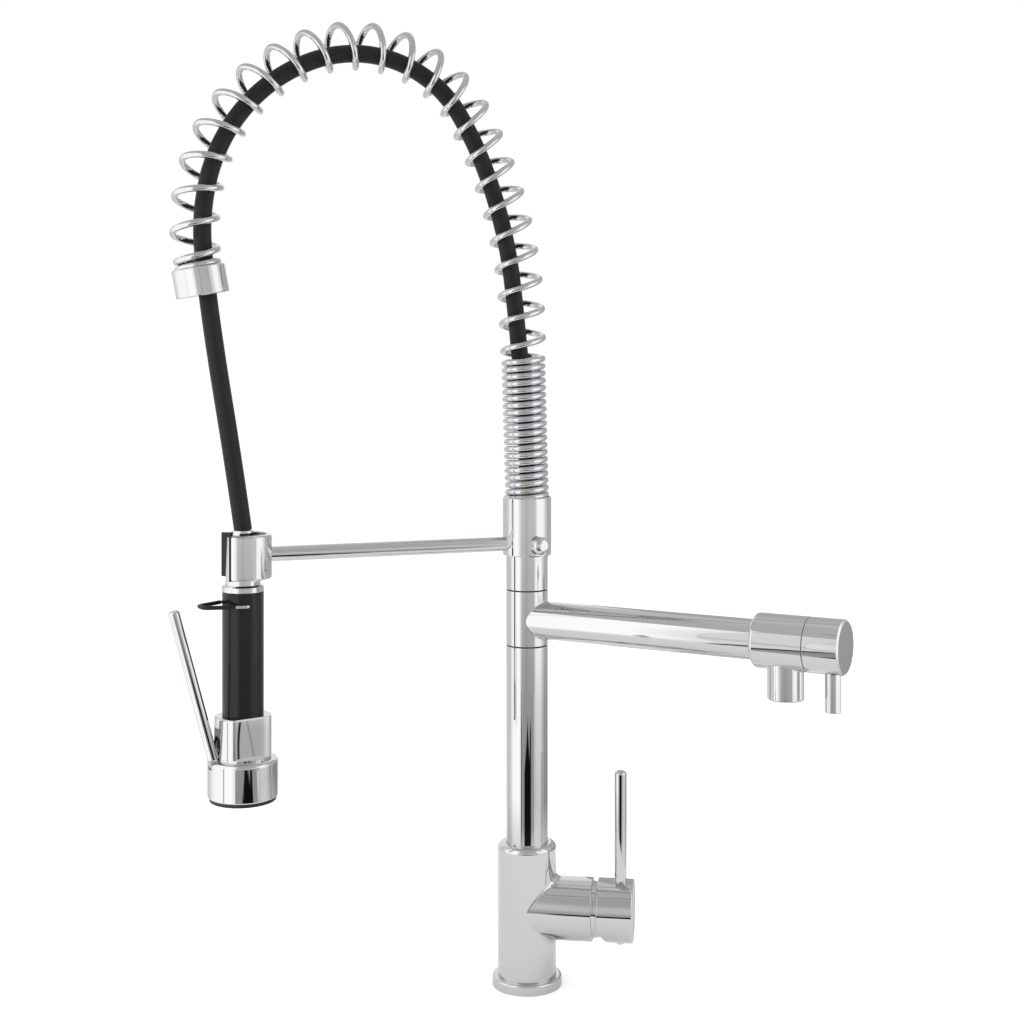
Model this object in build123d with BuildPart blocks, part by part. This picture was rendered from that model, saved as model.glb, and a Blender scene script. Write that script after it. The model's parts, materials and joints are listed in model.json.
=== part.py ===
from build123d import *
import math
import os

import numpy as np

os.makedirs("parts", exist_ok=True)

# Millimetres. The origin is the column's axis at the worktop, +Z is up, and the spray arm points
# along -X. Each angle below is a direction round the column, counted from +X towards +Y.

# ---- clearances ----
RUN = 0.08          # radial, a shaft that turns in its bore
SEAT = 0.05         # radial, a piece pushed or screwed into its socket
FREE = 0.4          # between pieces that pass each other

# ---- base and mixer body ----
FLANGE_DIA = 50.0
FLANGE_HEIGHT = 7.4
FLANGE_ROUND = 1.8
GASKET_THICK = 1.5
GASKET_WIDTH = 4.0
SPIGOT_DIA = 36.0
BODY_DIA = 42.0
BODY_HEIGHT = 95.0
BODY_ROUND = 4.0
INLET_DIA = 9.0
INLET_OFFSET = 9.0
INLET_FORWARD = 2.0
STUD_DIA = 6.8
STUD_OFFSET = 11.0
THREAD_DEPTH = 12.0
PASSAGE_DIA = 6.0
OUTLET_PASSAGE_DIA = 12.0
PASSAGE_MARGIN = 1.0

# ---- side branch, cartridge and lever handle ----
HANDLE_ANGLE = -28.0
BRANCH_Z = 55.5
BRANCH_DIA = 44.2
BRANCH_LENGTH = 47.8
BRANCH_FLARE = 12.0
FLARE_INSET = 0.2
CARTRIDGE_DIA = 35.0
CARTRIDGE_START = 13.8
CARTRIDGE_LENGTH = 27.2
PORT_INSET = 6.0
NUT_HEIGHT = 5.5
NUT_BORE = 24.0
MOUTH_DIA = 40.0
DOME_RADIUS = 19.5
DOME_WALL = 1.6
DOME_OPENING = 31.0
ROTOR_DIA = 20.0
ROTOR_LENGTH = 21.0
ROTOR_OVERLAP = 10.0
ROTOR_SLOT = 12.5
STEM_THICK = 8.0
STEM_END = 72.0
PIN_DIA = 3.0
PIN_INSET = 1.0
CAP_DIA = 44.0
CAP_GAP = 3.5
CAP_LENGTH = 25.6
CAP_ROUND = 1.0
CAVITY_FACETS = 16
CAP_RELIEF_START = 8.0
CAP_RELIEF_RUN = 8.7
ROD_DIA = 8.8
ROD_SETBACK = 9.4
ROD_LENGTH = 78.0
ROD_SINK = 7.0
HANDLE_SCREW_LENGTH = 5.0
PLUG_DIA = 5.6
PLUG_PROUD = 0.8
PLUG_LENGTH = 5.0

# ---- column ----
COLUMN_DIA = 30.0
COLUMN_SEAT = 5.0
LOWER_LENGTH = 141.6
WASHER_THICK = 0.8
WASHER_INSET = 0.5
SLEEVE_HEIGHT = 39.2
UPPER_LENGTH = 46.2
COLUMN_WALL = 3.0       # from the riser's surface to the column's
RISER_WALL = 5.0
RISER_SINK = 12.4
RISER_THREAD_STEP = 1.0
NUT_THICK = 3.5
ORING_DIA = 1.7
ORING_INSET = 6.0
ORING_PROUD = 0.03
ORING_SLACK = 0.1

# ---- spout with its own valve ----
SPOUT_ANGLE = -49.0
SPOUT_DROP = 1.4        # spout's axis below the middle of its sleeve
SPOUT_DIA = 27.0
SPOUT_WALL = 1.5
SLEEVE_PORT_STEP = 2.0
VALVE_PORT_STEP = 3.0
VALVE_DIA = 36.4
VALVE_START = 174.0
VALVE_LENGTH = 36.7
VALVE_ROUND = 3.0
TUBE_SOCKET = 10.0
KNOB_GAP = 0.4
KNOB_LENGTH = 24.2
KNOB_CHAMFER = 1.2
OUTLET_AT = 194.6
OUTLET_DIA = 24.2
OUTLET_DROP = 38.0
OUTLET_CHAMFER = 1.5
AERATOR_DIA = 20.4
AERATOR_HEIGHT = 10.0
AERATOR_INSET = 1.2
AERATOR_HOLE_DIA = 2.0
AERATOR_RING_RADII = [3.0, 6.2]
AERATOR_HOLE_COUNTS = [6, 12]
KNOB_PIN_DIA = 10.6
KNOB_PIN_SETBACK = 8.6
KNOB_PIN_DROP = 43.0
KNOB_PIN_SINK = 5.0
KNOB_PIN_ROUND = 0.8
SPINDLE_DIA = 8.0
SPINDLE_INSET = 3.0
DISC_CARTRIDGE_DIA = 26.0
DISC_CARTRIDGE_LENGTH = 12.0

# ---- hub, clamp screw and arm ----
HUB_DIA = 35.0
HUB_LAP = 22.0          # over the upper column
HUB_HEIGHT = 42.4
HUB_CHAMFER = 1.0
RISER_GAP = 0.5
SCREW_ANGLE = -84.0
SCREW_DIA = 6.0
KNURL_DIA = 13.0
KNURL_HEIGHT = 8.0
KNURL_GAP = 0.7
KNURL_FLAT_RADIUS = 2.2
TIP_DIA = 5.0
TIP_GROOVE = 1.2
ARM_RISE = 8.6          # arm's axis above the hub's lower edge
ARM_DIA = 10.3
ARM_SPIGOT_DIA = 6.0
ARM_SPIGOT_LAP = 1.0
SPIGOT_INSET = 0.2
REACH = 205.2

# ---- holder clip ----
CLIP_DIA = 39.0
CLIP_BORE = 31.0
CLIP_DROP = 15.6        # clip's lower edge below the arm's axis
CLIP_HEIGHT = 30.0
CLIP_MOUTH = 51.0
LIP_SWEEP = 4.0
LIP_INSET = 0.2
LIP_LAP = 0.5
LINER_GAP = 0.3

# ---- coil spring ----
WIRE_DIA = 4.6
CLOSED_DIA = 32.0
OPEN_DIA = 34.0
CLOSED_PITCH = 5.15
CLOSED_TURNS = 18.5
OPEN_TURNS = 21.75
START_RAMP = 1.0
END_RAMP = 0.5
END_TURNS = 0.5
HANG_STRETCH = 0.065
HUB_TUCK = 1.2
START_PHASE = 92.0
END_BEND = 5.0
SEAT_GAP = 0.3
SPRING_LEAN = 1.7
# radius and turn of each stretch of the spring's centreline, after the straight post
POST_LENGTH = 125.0
ARCH = [(322.0, 26.5), (92.0, 81.5), (125.0, 55.5), (150.0, 24.8)]
COLLAR_DIA = 36.0
COLLAR_HEIGHT = 19.3
COLLAR_BORE = 21.4
COLLAR_CHAMFER = 0.6

# ---- hose ----
HOSE_DIA = 12.2
CONNECTOR_DIA = 15.0
CONNECTOR_RISE = 15.0
CONNECTOR_SINK = 9.0
CONNECTOR_LIFT = 0.6
FERRULE_DIA = 14.0
FERRULE_RISE = 4.5
FERRULE_LIFT = 0.3
FERRULE_SPIGOT_DIA = 10.0
FERRULE_SPIGOT_LENGTH = 12.0
FERRULE_WALL = 1.5
# distance out from the column and height over the hub's top of each point of the hose's route,
# between the connector and the ferrule
HOSE_ROUTE = [
    (0.0, 51.1), (4.8, 93.1), (8.8, 134.6), (14.0, 175.6), (24.5, 215.6), (40.0, 254.1),
    (61.5, 288.6), (96.0, 309.1), (136.0, 312.1), (174.0, 297.6), (205.0, 271.1), (225.5, 236.1),
    (233.5, 196.1), (231.3, 159.6), (224.0, 104.6), (211.6, 28.6),
]

# ---- hand spray, hung from the clip; its lever points SPRAY_TURN away from the arm's direction ----
SPRAY_TURN = 14.0
NECK_TOP_DIA = 21.2
NECK_DIA = 23.5
NECK_TAPER = 30.0
NECK_PLAIN = 2.2
NECK_SPIGOT = 8.0
RING_DROP = 4.2         # ring's top below the clip
RING_DIA = 28.3
RING_HEIGHT = 4.5
RING_CHAMFER = 1.0
GRIP_LENGTH = 83.5
GRIP_DIA = 28.0
GRIP_BORE = 19.6
BLOCK_HEIGHT = 28.8
BLOCK_DIA = 38.6
BLOCK_FLATS = 31.4
FLAT_RISE = 4.0
BLOCK_ROUND = 1.5
BLOCK_SPIGOT_DIA = 18.0
BLOCK_SPIGOT_LENGTH = 6.0
BLOCK_BORE = 7.0
BELL_HEIGHT = 26.0
BELL_DIA = 47.7
BELL_ROUND = 3.0
BELL_CHAMFER = 0.8
BELL_WALL = 3.4
BELL_WEB = 13.0
BUMPER_DROP = 2.7
BUMPER_DIA = 45.0
BUMPER_BORE = 37.0
BUMPER_LIP = 2.0
BUMPER_ROUND = 0.8
CORE_DIA = 12.0
CORE_BORE = 8.0
CORE_SINK = 6.0
FACE_THICK = 3.0
NOZZLE_DIA = 1.8
NOZZLE_RING_RADII = [5.0, 9.0, 13.5]
NOZZLE_COUNTS = [6, 12, 18]
DIFFUSER_RISE = 2.0
DIFFUSER_RIM = 1.5
DIFFUSER_HOLE_DIA = 4.0
DIFFUSER_HOLE_RADIUS = 11.0
DIFFUSER_HOLES = 8

# ---- trigger lever, its pivot and the valve plunger ----
PIVOT_OUT = 19.4
PIVOT_DROP = 6.5        # below the bell's top
LEVER_TILT = 15.5
LEVER_DIA = 7.6
LEVER_REACH = 113.5
LEVER_START = 8.6
LEVER_CHAMFER = 0.8
TENON_DIA = 4.0
TENON_LENGTH = 8.0
FOOT_THICK = 5.0
FOOT_WIDTH = 6.4
FOOT_GAP = 0.3
FOOT_SWING = 1.6
FOOT_CLEARANCE = 0.5
LEVER_PIN_LENGTH = 17.0
PLUNGER_RISE = 11.0     # above the bell's top
PLUNGER_DIA = 6.0
PLUNGER_SINK = 9.0
PLUNGER_ROOM = 3.0
POCKET_DEPTH = 3.0
POCKET_WIDTH = 10.0
BACK_SCREW_RISE = 3.0
BACK_SCREW_DIA = 4.0
BACK_SCREW_SINK = 5.8
BACK_SCREW_PROUD = 1.6
BACK_SCREW_ROUND = 0.6

# ---- lock bail ----
BAIL_WIRE = 2.8
BAIL_DROP = 8.3         # below the grip's top
BAIL_OFFSET = 2.5
BAIL_REACH = 30.1
BAIL_HALF = 16.8
BAIL_END_HALF = 5.0
BAIL_PRONG = 11.2
BAIL_BEND = 1.9
BAIL_END_BEND = 4.0


# ---- heights, from the worktop up, then down from the clip ----
body_top = FLANGE_HEIGHT + BODY_HEIGHT
lower_top = body_top + LOWER_LENGTH
sleeve_bottom = lower_top + WASHER_THICK
sleeve_top = sleeve_bottom + SLEEVE_HEIGHT
upper_bottom = sleeve_top + WASHER_THICK
upper_top = upper_bottom + UPPER_LENGTH
riser_top = upper_top + NUT_THICK
spout_z = (sleeve_bottom + sleeve_top) / 2 - SPOUT_DROP
hub_bottom = upper_top - HUB_LAP
hub_top = hub_bottom + HUB_HEIGHT
arm_z = hub_bottom + ARM_RISE
clip_bottom = arm_z - CLIP_DROP
clip_top = clip_bottom + CLIP_HEIGHT
ring_top = clip_bottom - RING_DROP
neck_taper_end = ring_top + NECK_PLAIN
neck_top = neck_taper_end + NECK_TAPER
ferrule_top = neck_top + FERRULE_RISE
grip_top = ring_top - RING_HEIGHT
block_top = grip_top - GRIP_LENGTH
bell_top = block_top - BLOCK_HEIGHT
bell_bottom = bell_top - BELL_HEIGHT


def heading(angle):
    """Level unit vector at an angle round the column."""
    return Vector(math.cos(math.radians(angle)), math.sin(math.radians(angle)), 0)


def level_axis(angle, height):
    """Plane whose z runs level and outward at an angle, and whose x points up."""
    return Plane(origin=(0, 0, height), x_dir=(0, 0, 1), z_dir=heading(angle))


def turned(plane, outline, mode=Mode.ADD):
    """Revolve a closed outline of (radius, height) points about the plane's z axis."""
    section = Plane(origin=plane.origin, x_dir=plane.x_dir, z_dir=-plane.y_dir)
    with BuildSketch(section) as profile:
        with BuildLine():
            Polyline(*outline, close=True)
        make_face()
    revolve(profile.sketch, axis=Axis(plane.origin, plane.z_dir), mode=mode)


def round_bar(plane, dia, start, end, mode=Mode.ADD):
    """Cylinder along the plane's z axis between two distances."""
    with BuildSketch(plane.offset(start)) as disc:
        Circle(dia / 2)
    extrude(disc.sketch, amount=end - start, mode=mode)


def groove(plane, floor, start, end):
    """Cut a square groove down to a radius, right round the plane's z axis."""
    turned(plane, [(floor, start), (2 * floor, start), (2 * floor, end), (floor, end)], mode=Mode.SUBTRACT)


def bore(plane, dia, start, end):
    """Cut a cylinder away along the plane's z axis."""
    round_bar(plane, dia, start, end, mode=Mode.SUBTRACT)


def pipe(plane, outer, inner, start, end):
    """Hollow cylinder along the plane's z axis."""
    round_bar(plane, outer, start, end)
    bore(plane, inner, start, end)


def end_edges(piece, plane, which=-1):
    """Edges of the last face of a piece along the plane's z axis, or of the first with 0."""
    return piece.faces().sort_by(Axis(plane.origin, plane.z_dir))[which].edges()


column = Plane.XY
branch = level_axis(HANDLE_ANGLE, BRANCH_Z)
spray = Plane(origin=(-REACH, 0, 0), x_dir=heading(180 + SPRAY_TURN), z_dir=(0, 0, 1))

# ==== base ====
gasket_outer = FLANGE_DIA - 2 * FLANGE_ROUND
gasket_inner = gasket_outer - 2 * GASKET_WIDTH

with BuildPart() as base_flange:
    pipe(column, FLANGE_DIA, SPIGOT_DIA + 2 * SEAT, 0, FLANGE_HEIGHT)
    fillet(base_flange.edges().filter_by(GeomType.CIRCLE).sort_by(SortBy.RADIUS)[-2:]
           .sort_by(Axis.Z)[-1], FLANGE_ROUND)
    bore(column, gasket_outer, 0, GASKET_THICK)
    pipe(column, gasket_inner, SPIGOT_DIA + 2 * SEAT, 0, GASKET_THICK)

with BuildPart() as deck_gasket:
    pipe(column, gasket_outer - 2 * SEAT, gasket_inner + 2 * SEAT, 0, GASKET_THICK)

# ==== mixer body with its side branch ====
branch_mouth = BRANCH_LENGTH
cartridge_end = CARTRIDGE_START + CARTRIDGE_LENGTH
body_r = BODY_DIA / 2
branch_r = BRANCH_DIA / 2
across = heading(HANDLE_ANGLE + 90)
along = heading(HANDLE_ANGLE)
inlet_points = [along * INLET_FORWARD + across * side * INLET_OFFSET for side in (1, -1)]
stud_point = along * -STUD_OFFSET
passage_z = BRANCH_Z - CARTRIDGE_DIA / 2 + PASSAGE_DIA
outlet_z = BRANCH_Z + CARTRIDGE_DIA / 2 - OUTLET_PASSAGE_DIA / 2 - PASSAGE_MARGIN
riser_dia = COLUMN_DIA - 2 * COLUMN_WALL
riser_bore = riser_dia - 2 * RISER_WALL
riser_thread = riser_dia - 2 * RISER_THREAD_STEP
riser_foot = body_top - RISER_SINK

with BuildPart() as mixer_body:
    round_bar(column, SPIGOT_DIA, 0, FLANGE_HEIGHT)
    round_bar(column, BODY_DIA, FLANGE_HEIGHT, body_top)
    fillet(mixer_body.edges().filter_by(GeomType.CIRCLE).sort_by(Axis.Z)[-1], BODY_ROUND)
    turned(branch, [(0, 0), (body_r - FLARE_INSET, 0), (branch_r, BRANCH_FLARE),
                    (branch_r, branch_mouth), (0, branch_mouth)])
    bore(branch, CARTRIDGE_DIA + 2 * SEAT, CARTRIDGE_START, branch_mouth)
    bore(branch, MOUTH_DIA, cartridge_end, branch_mouth)
    for inlet in inlet_points:
        bore(Plane(inlet), INLET_DIA, 0, THREAD_DEPTH)
        bore(Plane(inlet), PASSAGE_DIA, 0, passage_z)
        feed = Plane(origin=inlet + Vector(0, 0, passage_z), z_dir=along)
        bore(feed, PASSAGE_DIA, -PASSAGE_DIA / 2, CARTRIDGE_START)
    bore(Plane(stud_point), STUD_DIA, 0, THREAD_DEPTH)
    cross_feed = level_axis(HANDLE_ANGLE, outlet_z)
    bore(cross_feed, OUTLET_PASSAGE_DIA, 0, CARTRIDGE_START + PASSAGE_MARGIN)
    bore(column, OUTLET_PASSAGE_DIA, outlet_z, body_top)
    bore(column, riser_thread + 2 * SEAT, riser_foot, body_top)
    bore(column, COLUMN_DIA + 2 * SEAT, body_top - COLUMN_SEAT, body_top)

# ==== cartridge ====
rotor_start = cartridge_end - ROTOR_OVERLAP
port_r = CARTRIDGE_DIA / 2 - PORT_INSET

with BuildPart() as mixing_cartridge:
    round_bar(branch, CARTRIDGE_DIA, CARTRIDGE_START, cartridge_end)
    bore(branch, ROTOR_DIA + 2 * RUN, rotor_start, cartridge_end)
    with BuildSketch(branch.offset(CARTRIDGE_START)):
        with PolarLocations(port_r, 3):
            Circle(PASSAGE_DIA / 2)
    extrude(amount=CARTRIDGE_LENGTH / 3, mode=Mode.SUBTRACT)

with BuildPart() as cartridge_nut:
    pipe(branch, MOUTH_DIA - 2 * SEAT, NUT_BORE, cartridge_end, cartridge_end + NUT_HEIGHT)

dome_skirt = MOUTH_DIA / 2 - SEAT

with BuildPart() as cartridge_dome:
    with BuildSketch(Plane(origin=branch.origin, x_dir=branch.x_dir, z_dir=-branch.y_dir)) as shell:
        with Locations((0, branch_mouth)):
            Circle(DOME_RADIUS)
            Circle(DOME_RADIUS - DOME_WALL, mode=Mode.SUBTRACT)
        with Locations((DOME_OPENING / 2, branch_mouth)):
            Rectangle(DOME_RADIUS, DOME_RADIUS, align=(Align.MIN, Align.MIN), mode=Mode.INTERSECT)
    revolve(shell.sketch, axis=Axis(branch.origin, branch.z_dir))
    pipe(branch, 2 * dome_skirt, 2 * (DOME_RADIUS - DOME_WALL),
         cartridge_end + NUT_HEIGHT, branch_mouth)

with BuildPart() as cartridge_rotor:
    rotor_end = rotor_start + ROTOR_LENGTH
    round_bar(branch, ROTOR_DIA, rotor_start, rotor_end)
    with BuildSketch(branch.offset(rotor_end)):
        Rectangle(2 * ROTOR_DIA, STEM_THICK + 2 * RUN)
    extrude(amount=-ROTOR_SLOT, mode=Mode.SUBTRACT)
    hinge = Plane(origin=branch.origin + along * branch_mouth, x_dir=(0, 0, 1), z_dir=across)
    bore(hinge, PIN_DIA + 2 * SEAT, -ROTOR_DIA, ROTOR_DIA)

stem_half = STEM_THICK / 2
with BuildPart() as stem_pin:
    round_bar(hinge, PIN_DIA, PIN_INSET - ROTOR_DIA / 2, ROTOR_DIA / 2 - PIN_INSET)

with BuildPart() as lever_stem:
    round_bar(hinge, STEM_THICK, -stem_half, stem_half)
    with BuildSketch(branch.offset(branch_mouth)):
        Rectangle(STEM_THICK, STEM_THICK)
    extrude(amount=STEM_END - branch_mouth)
    bore(hinge, PIN_DIA + 2 * RUN, -stem_half, stem_half)

# ==== lever handle ====
cap_start = branch_mouth + CAP_GAP
cap_end = cap_start + CAP_LENGTH
cap_r = CAP_DIA / 2
relief_slope = (cap_r - CAP_RELIEF_START) / CAP_RELIEF_RUN
rod_at = cap_end - ROD_SETBACK
rod_plane = Plane(along * rod_at)
rod_foot = BRANCH_Z + cap_r - ROD_SINK

# flats that clear the dome all round as the cap tilts over it
facet = math.radians(360 / CAVITY_FACETS)
corner_r = (DOME_RADIUS + FREE) / math.cos(facet / 2)
corners = [(corner_r * math.cos(turn * facet), branch_mouth + corner_r * math.sin(turn * facet))
           for turn in np.arange(-0.5, CAVITY_FACETS / 4)]

with BuildPart() as handle_cap:
    round_bar(branch, CAP_DIA, cap_start, cap_end)
    fillet(handle_cap.edges().filter_by(GeomType.CIRCLE), CAP_ROUND)
    turned(branch, [(0, corners[0][1]), *corners, (0, corners[-1][1])], mode=Mode.SUBTRACT)
    with BuildSketch(branch.offset(cap_start)) as stem_hole:
        Rectangle(STEM_THICK + 2 * SEAT, STEM_THICK + 2 * SEAT)
    extrude(stem_hole.sketch, amount=STEM_END - cap_start + SEAT, mode=Mode.SUBTRACT)
    with BuildSketch(Plane(origin=branch.origin, x_dir=along, z_dir=-across)) as relief:
        with BuildLine():
            Polyline((cap_start - FREE, FREE * relief_slope - CAP_RELIEF_START),
                     (cap_start + CAP_RELIEF_RUN + FREE, -cap_r - FREE * relief_slope),
                     (cap_start - FREE, -cap_r - FREE * relief_slope), close=True)
        make_face()
    extrude(relief.sketch, amount=cap_r, both=True, mode=Mode.SUBTRACT)
    bore(rod_plane, ROD_DIA + 2 * SEAT, rod_foot, BRANCH_Z + cap_r)
    bore(rod_plane, PLUG_DIA + 2 * SEAT, BRANCH_Z - cap_r, BRANCH_Z - stem_half - SEAT)

with BuildPart() as handle_rod:
    rod_top = BRANCH_Z + cap_r + ROD_LENGTH
    round_bar(rod_plane, ROD_DIA, rod_foot, rod_top)
    fillet(handle_rod.edges().filter_by(GeomType.CIRCLE).sort_by(Axis.Z)[-1], ROD_DIA / 4)

with BuildPart() as handle_screw:
    screw_top = BRANCH_Z - stem_half - 2 * SEAT
    round_bar(rod_plane, PLUG_DIA, screw_top - HANDLE_SCREW_LENGTH, screw_top)

with BuildPart() as handle_plug:
    plug_bottom = BRANCH_Z - cap_r - PLUG_PROUD
    round_bar(rod_plane, PLUG_DIA, plug_bottom, plug_bottom + PLUG_LENGTH)
    fillet(handle_plug.edges().filter_by(GeomType.CIRCLE).sort_by(Axis.Z)[0], PLUG_PROUD)

# ==== column ====
shell_bore = riser_dia + 2 * RUN
washer_dia = COLUMN_DIA - 2 * WASHER_INSET

with BuildPart() as lower_column:
    pipe(column, COLUMN_DIA, shell_bore, body_top - COLUMN_SEAT, lower_top)

with BuildPart() as lower_washer:
    pipe(column, washer_dia, shell_bore, lower_top, sleeve_bottom)

with BuildPart() as upper_washer:
    pipe(column, washer_dia, shell_bore, sleeve_top, upper_bottom)

with BuildPart() as upper_column:
    pipe(column, COLUMN_DIA, shell_bore, upper_bottom, upper_top)
    groove_half = TIP_DIA / 2 + FREE
    groove(column, COLUMN_DIA / 2 - TIP_GROOVE, arm_z - groove_half, arm_z + groove_half)

oring_r = riser_dia / 2 + ORING_PROUD - ORING_DIA / 2
oring_half = ORING_DIA / 2 + ORING_SLACK
oring_heights = [sleeve_bottom + ORING_INSET, sleeve_top - ORING_INSET]

with BuildPart() as riser_tube:
    round_bar(column, riser_thread, riser_foot, body_top - COLUMN_SEAT)
    round_bar(column, riser_dia, body_top - COLUMN_SEAT, riser_top)
    bore(column, riser_bore + 2 * RUN, riser_foot, riser_top)
    spout_feed = level_axis(SPOUT_ANGLE, spout_z)
    bore(spout_feed, OUTLET_PASSAGE_DIA, -riser_dia, riser_dia)
    for height in oring_heights:
        groove(column, oring_r - ORING_DIA / 2 - ORING_PROUD, height - oring_half, height + oring_half)

with BuildPart() as sleeve_orings:
    with Locations(*[(0, 0, height) for height in oring_heights]):
        Torus(oring_r, ORING_DIA / 2)

with BuildPart() as riser_nut:
    pipe(column, COLUMN_DIA - 2 * FREE, riser_dia + 2 * SEAT, upper_top, riser_top)

# ==== spout ====
spout = level_axis(SPOUT_ANGLE, spout_z)
spout_along = heading(SPOUT_ANGLE)
valve_end = VALVE_START + VALVE_LENGTH
socket_end = VALVE_START + TUBE_SOCKET
disc_start = valve_end - DISC_CARTRIDGE_LENGTH
outlet_plane = Plane(spout_along * OUTLET_AT)
outlet_bottom = spout_z - OUTLET_DROP
tube_bore = SPOUT_DIA - 2 * SPOUT_WALL

with BuildPart() as spout_sleeve:
    round_bar(column, COLUMN_DIA, sleeve_bottom, sleeve_top)
    bore(column, shell_bore, sleeve_bottom, sleeve_top)
    bore(spout, tube_bore - 2 * SLEEVE_PORT_STEP, 0, COLUMN_DIA)

with BuildPart() as spout_tube:
    pipe(spout, SPOUT_DIA, tube_bore, 0, socket_end)
    bore(column, COLUMN_DIA, 0, hub_top)

with BuildPart() as spout_valve_body:
    round_bar(spout, VALVE_DIA, VALVE_START, valve_end)
    fillet(end_edges(spout_valve_body, spout, 0), VALVE_ROUND)
    round_bar(outlet_plane, OUTLET_DIA, outlet_bottom, spout_z)
    chamfer(spout_valve_body.edges().filter_by(GeomType.CIRCLE).sort_by(Axis.Z)[0], OUTLET_CHAMFER)
    bore(spout, SPOUT_DIA + 2 * SEAT, VALVE_START, socket_end)
    bore(spout, tube_bore - 2 * VALVE_PORT_STEP, VALVE_START, valve_end)
    bore(spout, DISC_CARTRIDGE_DIA + 2 * SEAT, disc_start, valve_end)
    bore(outlet_plane, OUTLET_PASSAGE_DIA, outlet_bottom, spout_z)
    bore(outlet_plane, AERATOR_DIA + 2 * SEAT, outlet_bottom,
         outlet_bottom + AERATOR_INSET + AERATOR_HEIGHT)

with BuildPart() as aerator:
    aerator_bottom = outlet_bottom + AERATOR_INSET
    round_bar(outlet_plane, AERATOR_DIA, aerator_bottom, aerator_bottom + AERATOR_HEIGHT)
    with BuildSketch(outlet_plane.offset(aerator_bottom)):
        for radius, count in zip(AERATOR_RING_RADII, AERATOR_HOLE_COUNTS):
            with PolarLocations(radius, count):
                Circle(AERATOR_HOLE_DIA / 2)
    extrude(amount=AERATOR_HEIGHT, mode=Mode.SUBTRACT)

with BuildPart() as disc_cartridge:
    round_bar(spout, DISC_CARTRIDGE_DIA, disc_start, valve_end - KNOB_GAP / 2)
    bore(spout, SPINDLE_DIA + 2 * RUN, disc_start + SPINDLE_INSET, valve_end)
    with BuildSketch(spout.offset(disc_start)):
        with PolarLocations((DISC_CARTRIDGE_DIA + SPINDLE_DIA) / 4 + RUN, 2):
            Circle(PASSAGE_DIA / 2)
    extrude(amount=DISC_CARTRIDGE_LENGTH / 2, mode=Mode.SUBTRACT)

knob_start = valve_end + KNOB_GAP
knob_end = knob_start + KNOB_LENGTH
knob_pin_at = knob_end - KNOB_PIN_SETBACK
spindle_end = knob_start + KNOB_LENGTH / 2
knob_pin_plane = Plane(spout_along * knob_pin_at)
knob_pin_top = spout_z - VALVE_DIA / 2 + KNOB_PIN_SINK

with BuildPart() as valve_spindle:
    round_bar(spout, SPINDLE_DIA, disc_start + SPINDLE_INSET + KNOB_GAP / 2, spindle_end)

with BuildPart() as valve_knob:
    round_bar(spout, VALVE_DIA, knob_start, knob_end)
    chamfer(end_edges(valve_knob, spout), KNOB_CHAMFER)
    bore(spout, SPINDLE_DIA + 2 * SEAT, knob_start, spindle_end + 2 * SEAT)
    bore(knob_pin_plane, KNOB_PIN_DIA + 2 * SEAT, spout_z - VALVE_DIA, knob_pin_top)

with BuildPart() as knob_pin:
    round_bar(knob_pin_plane, KNOB_PIN_DIA, spout_z - KNOB_PIN_DROP, knob_pin_top)
    fillet(knob_pin.edges().filter_by(GeomType.CIRCLE).sort_by(Axis.Z)[0], KNOB_PIN_ROUND)

# ==== spring's centreline: a straight post, then arcs that bend over towards the arm ====
def centreline():
    """List of (length, radius, start point, start angle) for each stretch."""
    stretches = [(POST_LENGTH, math.inf, (0.0, hub_top), math.radians(SPRING_LEAN))]
    for radius, turn in ARCH:
        length, last_radius, (out, up), angle = stretches[-1]
        stretches.append((radius * math.radians(turn), radius, *step(length, last_radius, out, up, angle)))
    return stretches


def step(length, radius, out, up, angle):
    """Point and angle after a length along a stretch; the angle is from upright."""
    if math.isinf(radius):
        return (out + length * math.sin(angle), up + length * math.cos(angle)), angle
    end = angle + length / radius
    out += radius * (math.cos(angle) - math.cos(end))
    up += radius * (math.sin(end) - math.sin(angle))
    return (out, up), end


STRETCHES = centreline()
ARCH_LENGTH = sum(stretch[0] for stretch in STRETCHES)


def on_centreline(distance):
    """Point, tangent, outward normal and bend of the centreline at a distance from the hub."""
    for length, radius, (out, up), angle in STRETCHES:
        if distance <= length or (length, radius) == STRETCHES[-1][:2]:
            (out, up), angle = step(distance, radius, out, up, angle)
            tangent = Vector(-math.sin(angle), 0, math.cos(angle))
            normal = Vector(math.cos(angle), 0, math.sin(angle))
            return Vector(-out, 0, up), tangent, normal, 1 / radius
        distance -= length


# ==== coil spring ====
seat_rise = WIRE_DIA / 2 + SEAT_GAP / 2
coil_length = ARCH_LENGTH - 2 * seat_rise
total_turns = CLOSED_TURNS + START_RAMP + OPEN_TURNS + END_RAMP + END_TURNS
QUARTERS = round(total_turns * 4)
quarter_middles = [(quarter + 0.5) / 4 for quarter in range(QUARTERS)]


def openness(turns):
    """0 where the coil is closed, 1 where it is open, with a ramp between."""
    rise = (turns - CLOSED_TURNS) / START_RAMP
    fall = (total_turns - END_TURNS - turns) / END_RAMP
    return max(0.0, min(1.0, rise, fall))


def stretch(turns):
    """How much the hanging end draws the open turns apart."""
    share = (turns - CLOSED_TURNS) / (total_turns - CLOSED_TURNS)
    return 1 + HANG_STRETCH * (2 * share - 1)


closed_length = sum((1 - openness(turns)) * CLOSED_PITCH / 4 for turns in quarter_middles)
open_share = sum(openness(turns) * stretch(turns) / 4 for turns in quarter_middles)
OPEN_PITCH = (coil_length - closed_length) / open_share


def coil_pitch(turns):
    """Advance per turn along the centreline."""
    return CLOSED_PITCH + openness(turns) * (OPEN_PITCH * stretch(turns) - CLOSED_PITCH)


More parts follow.
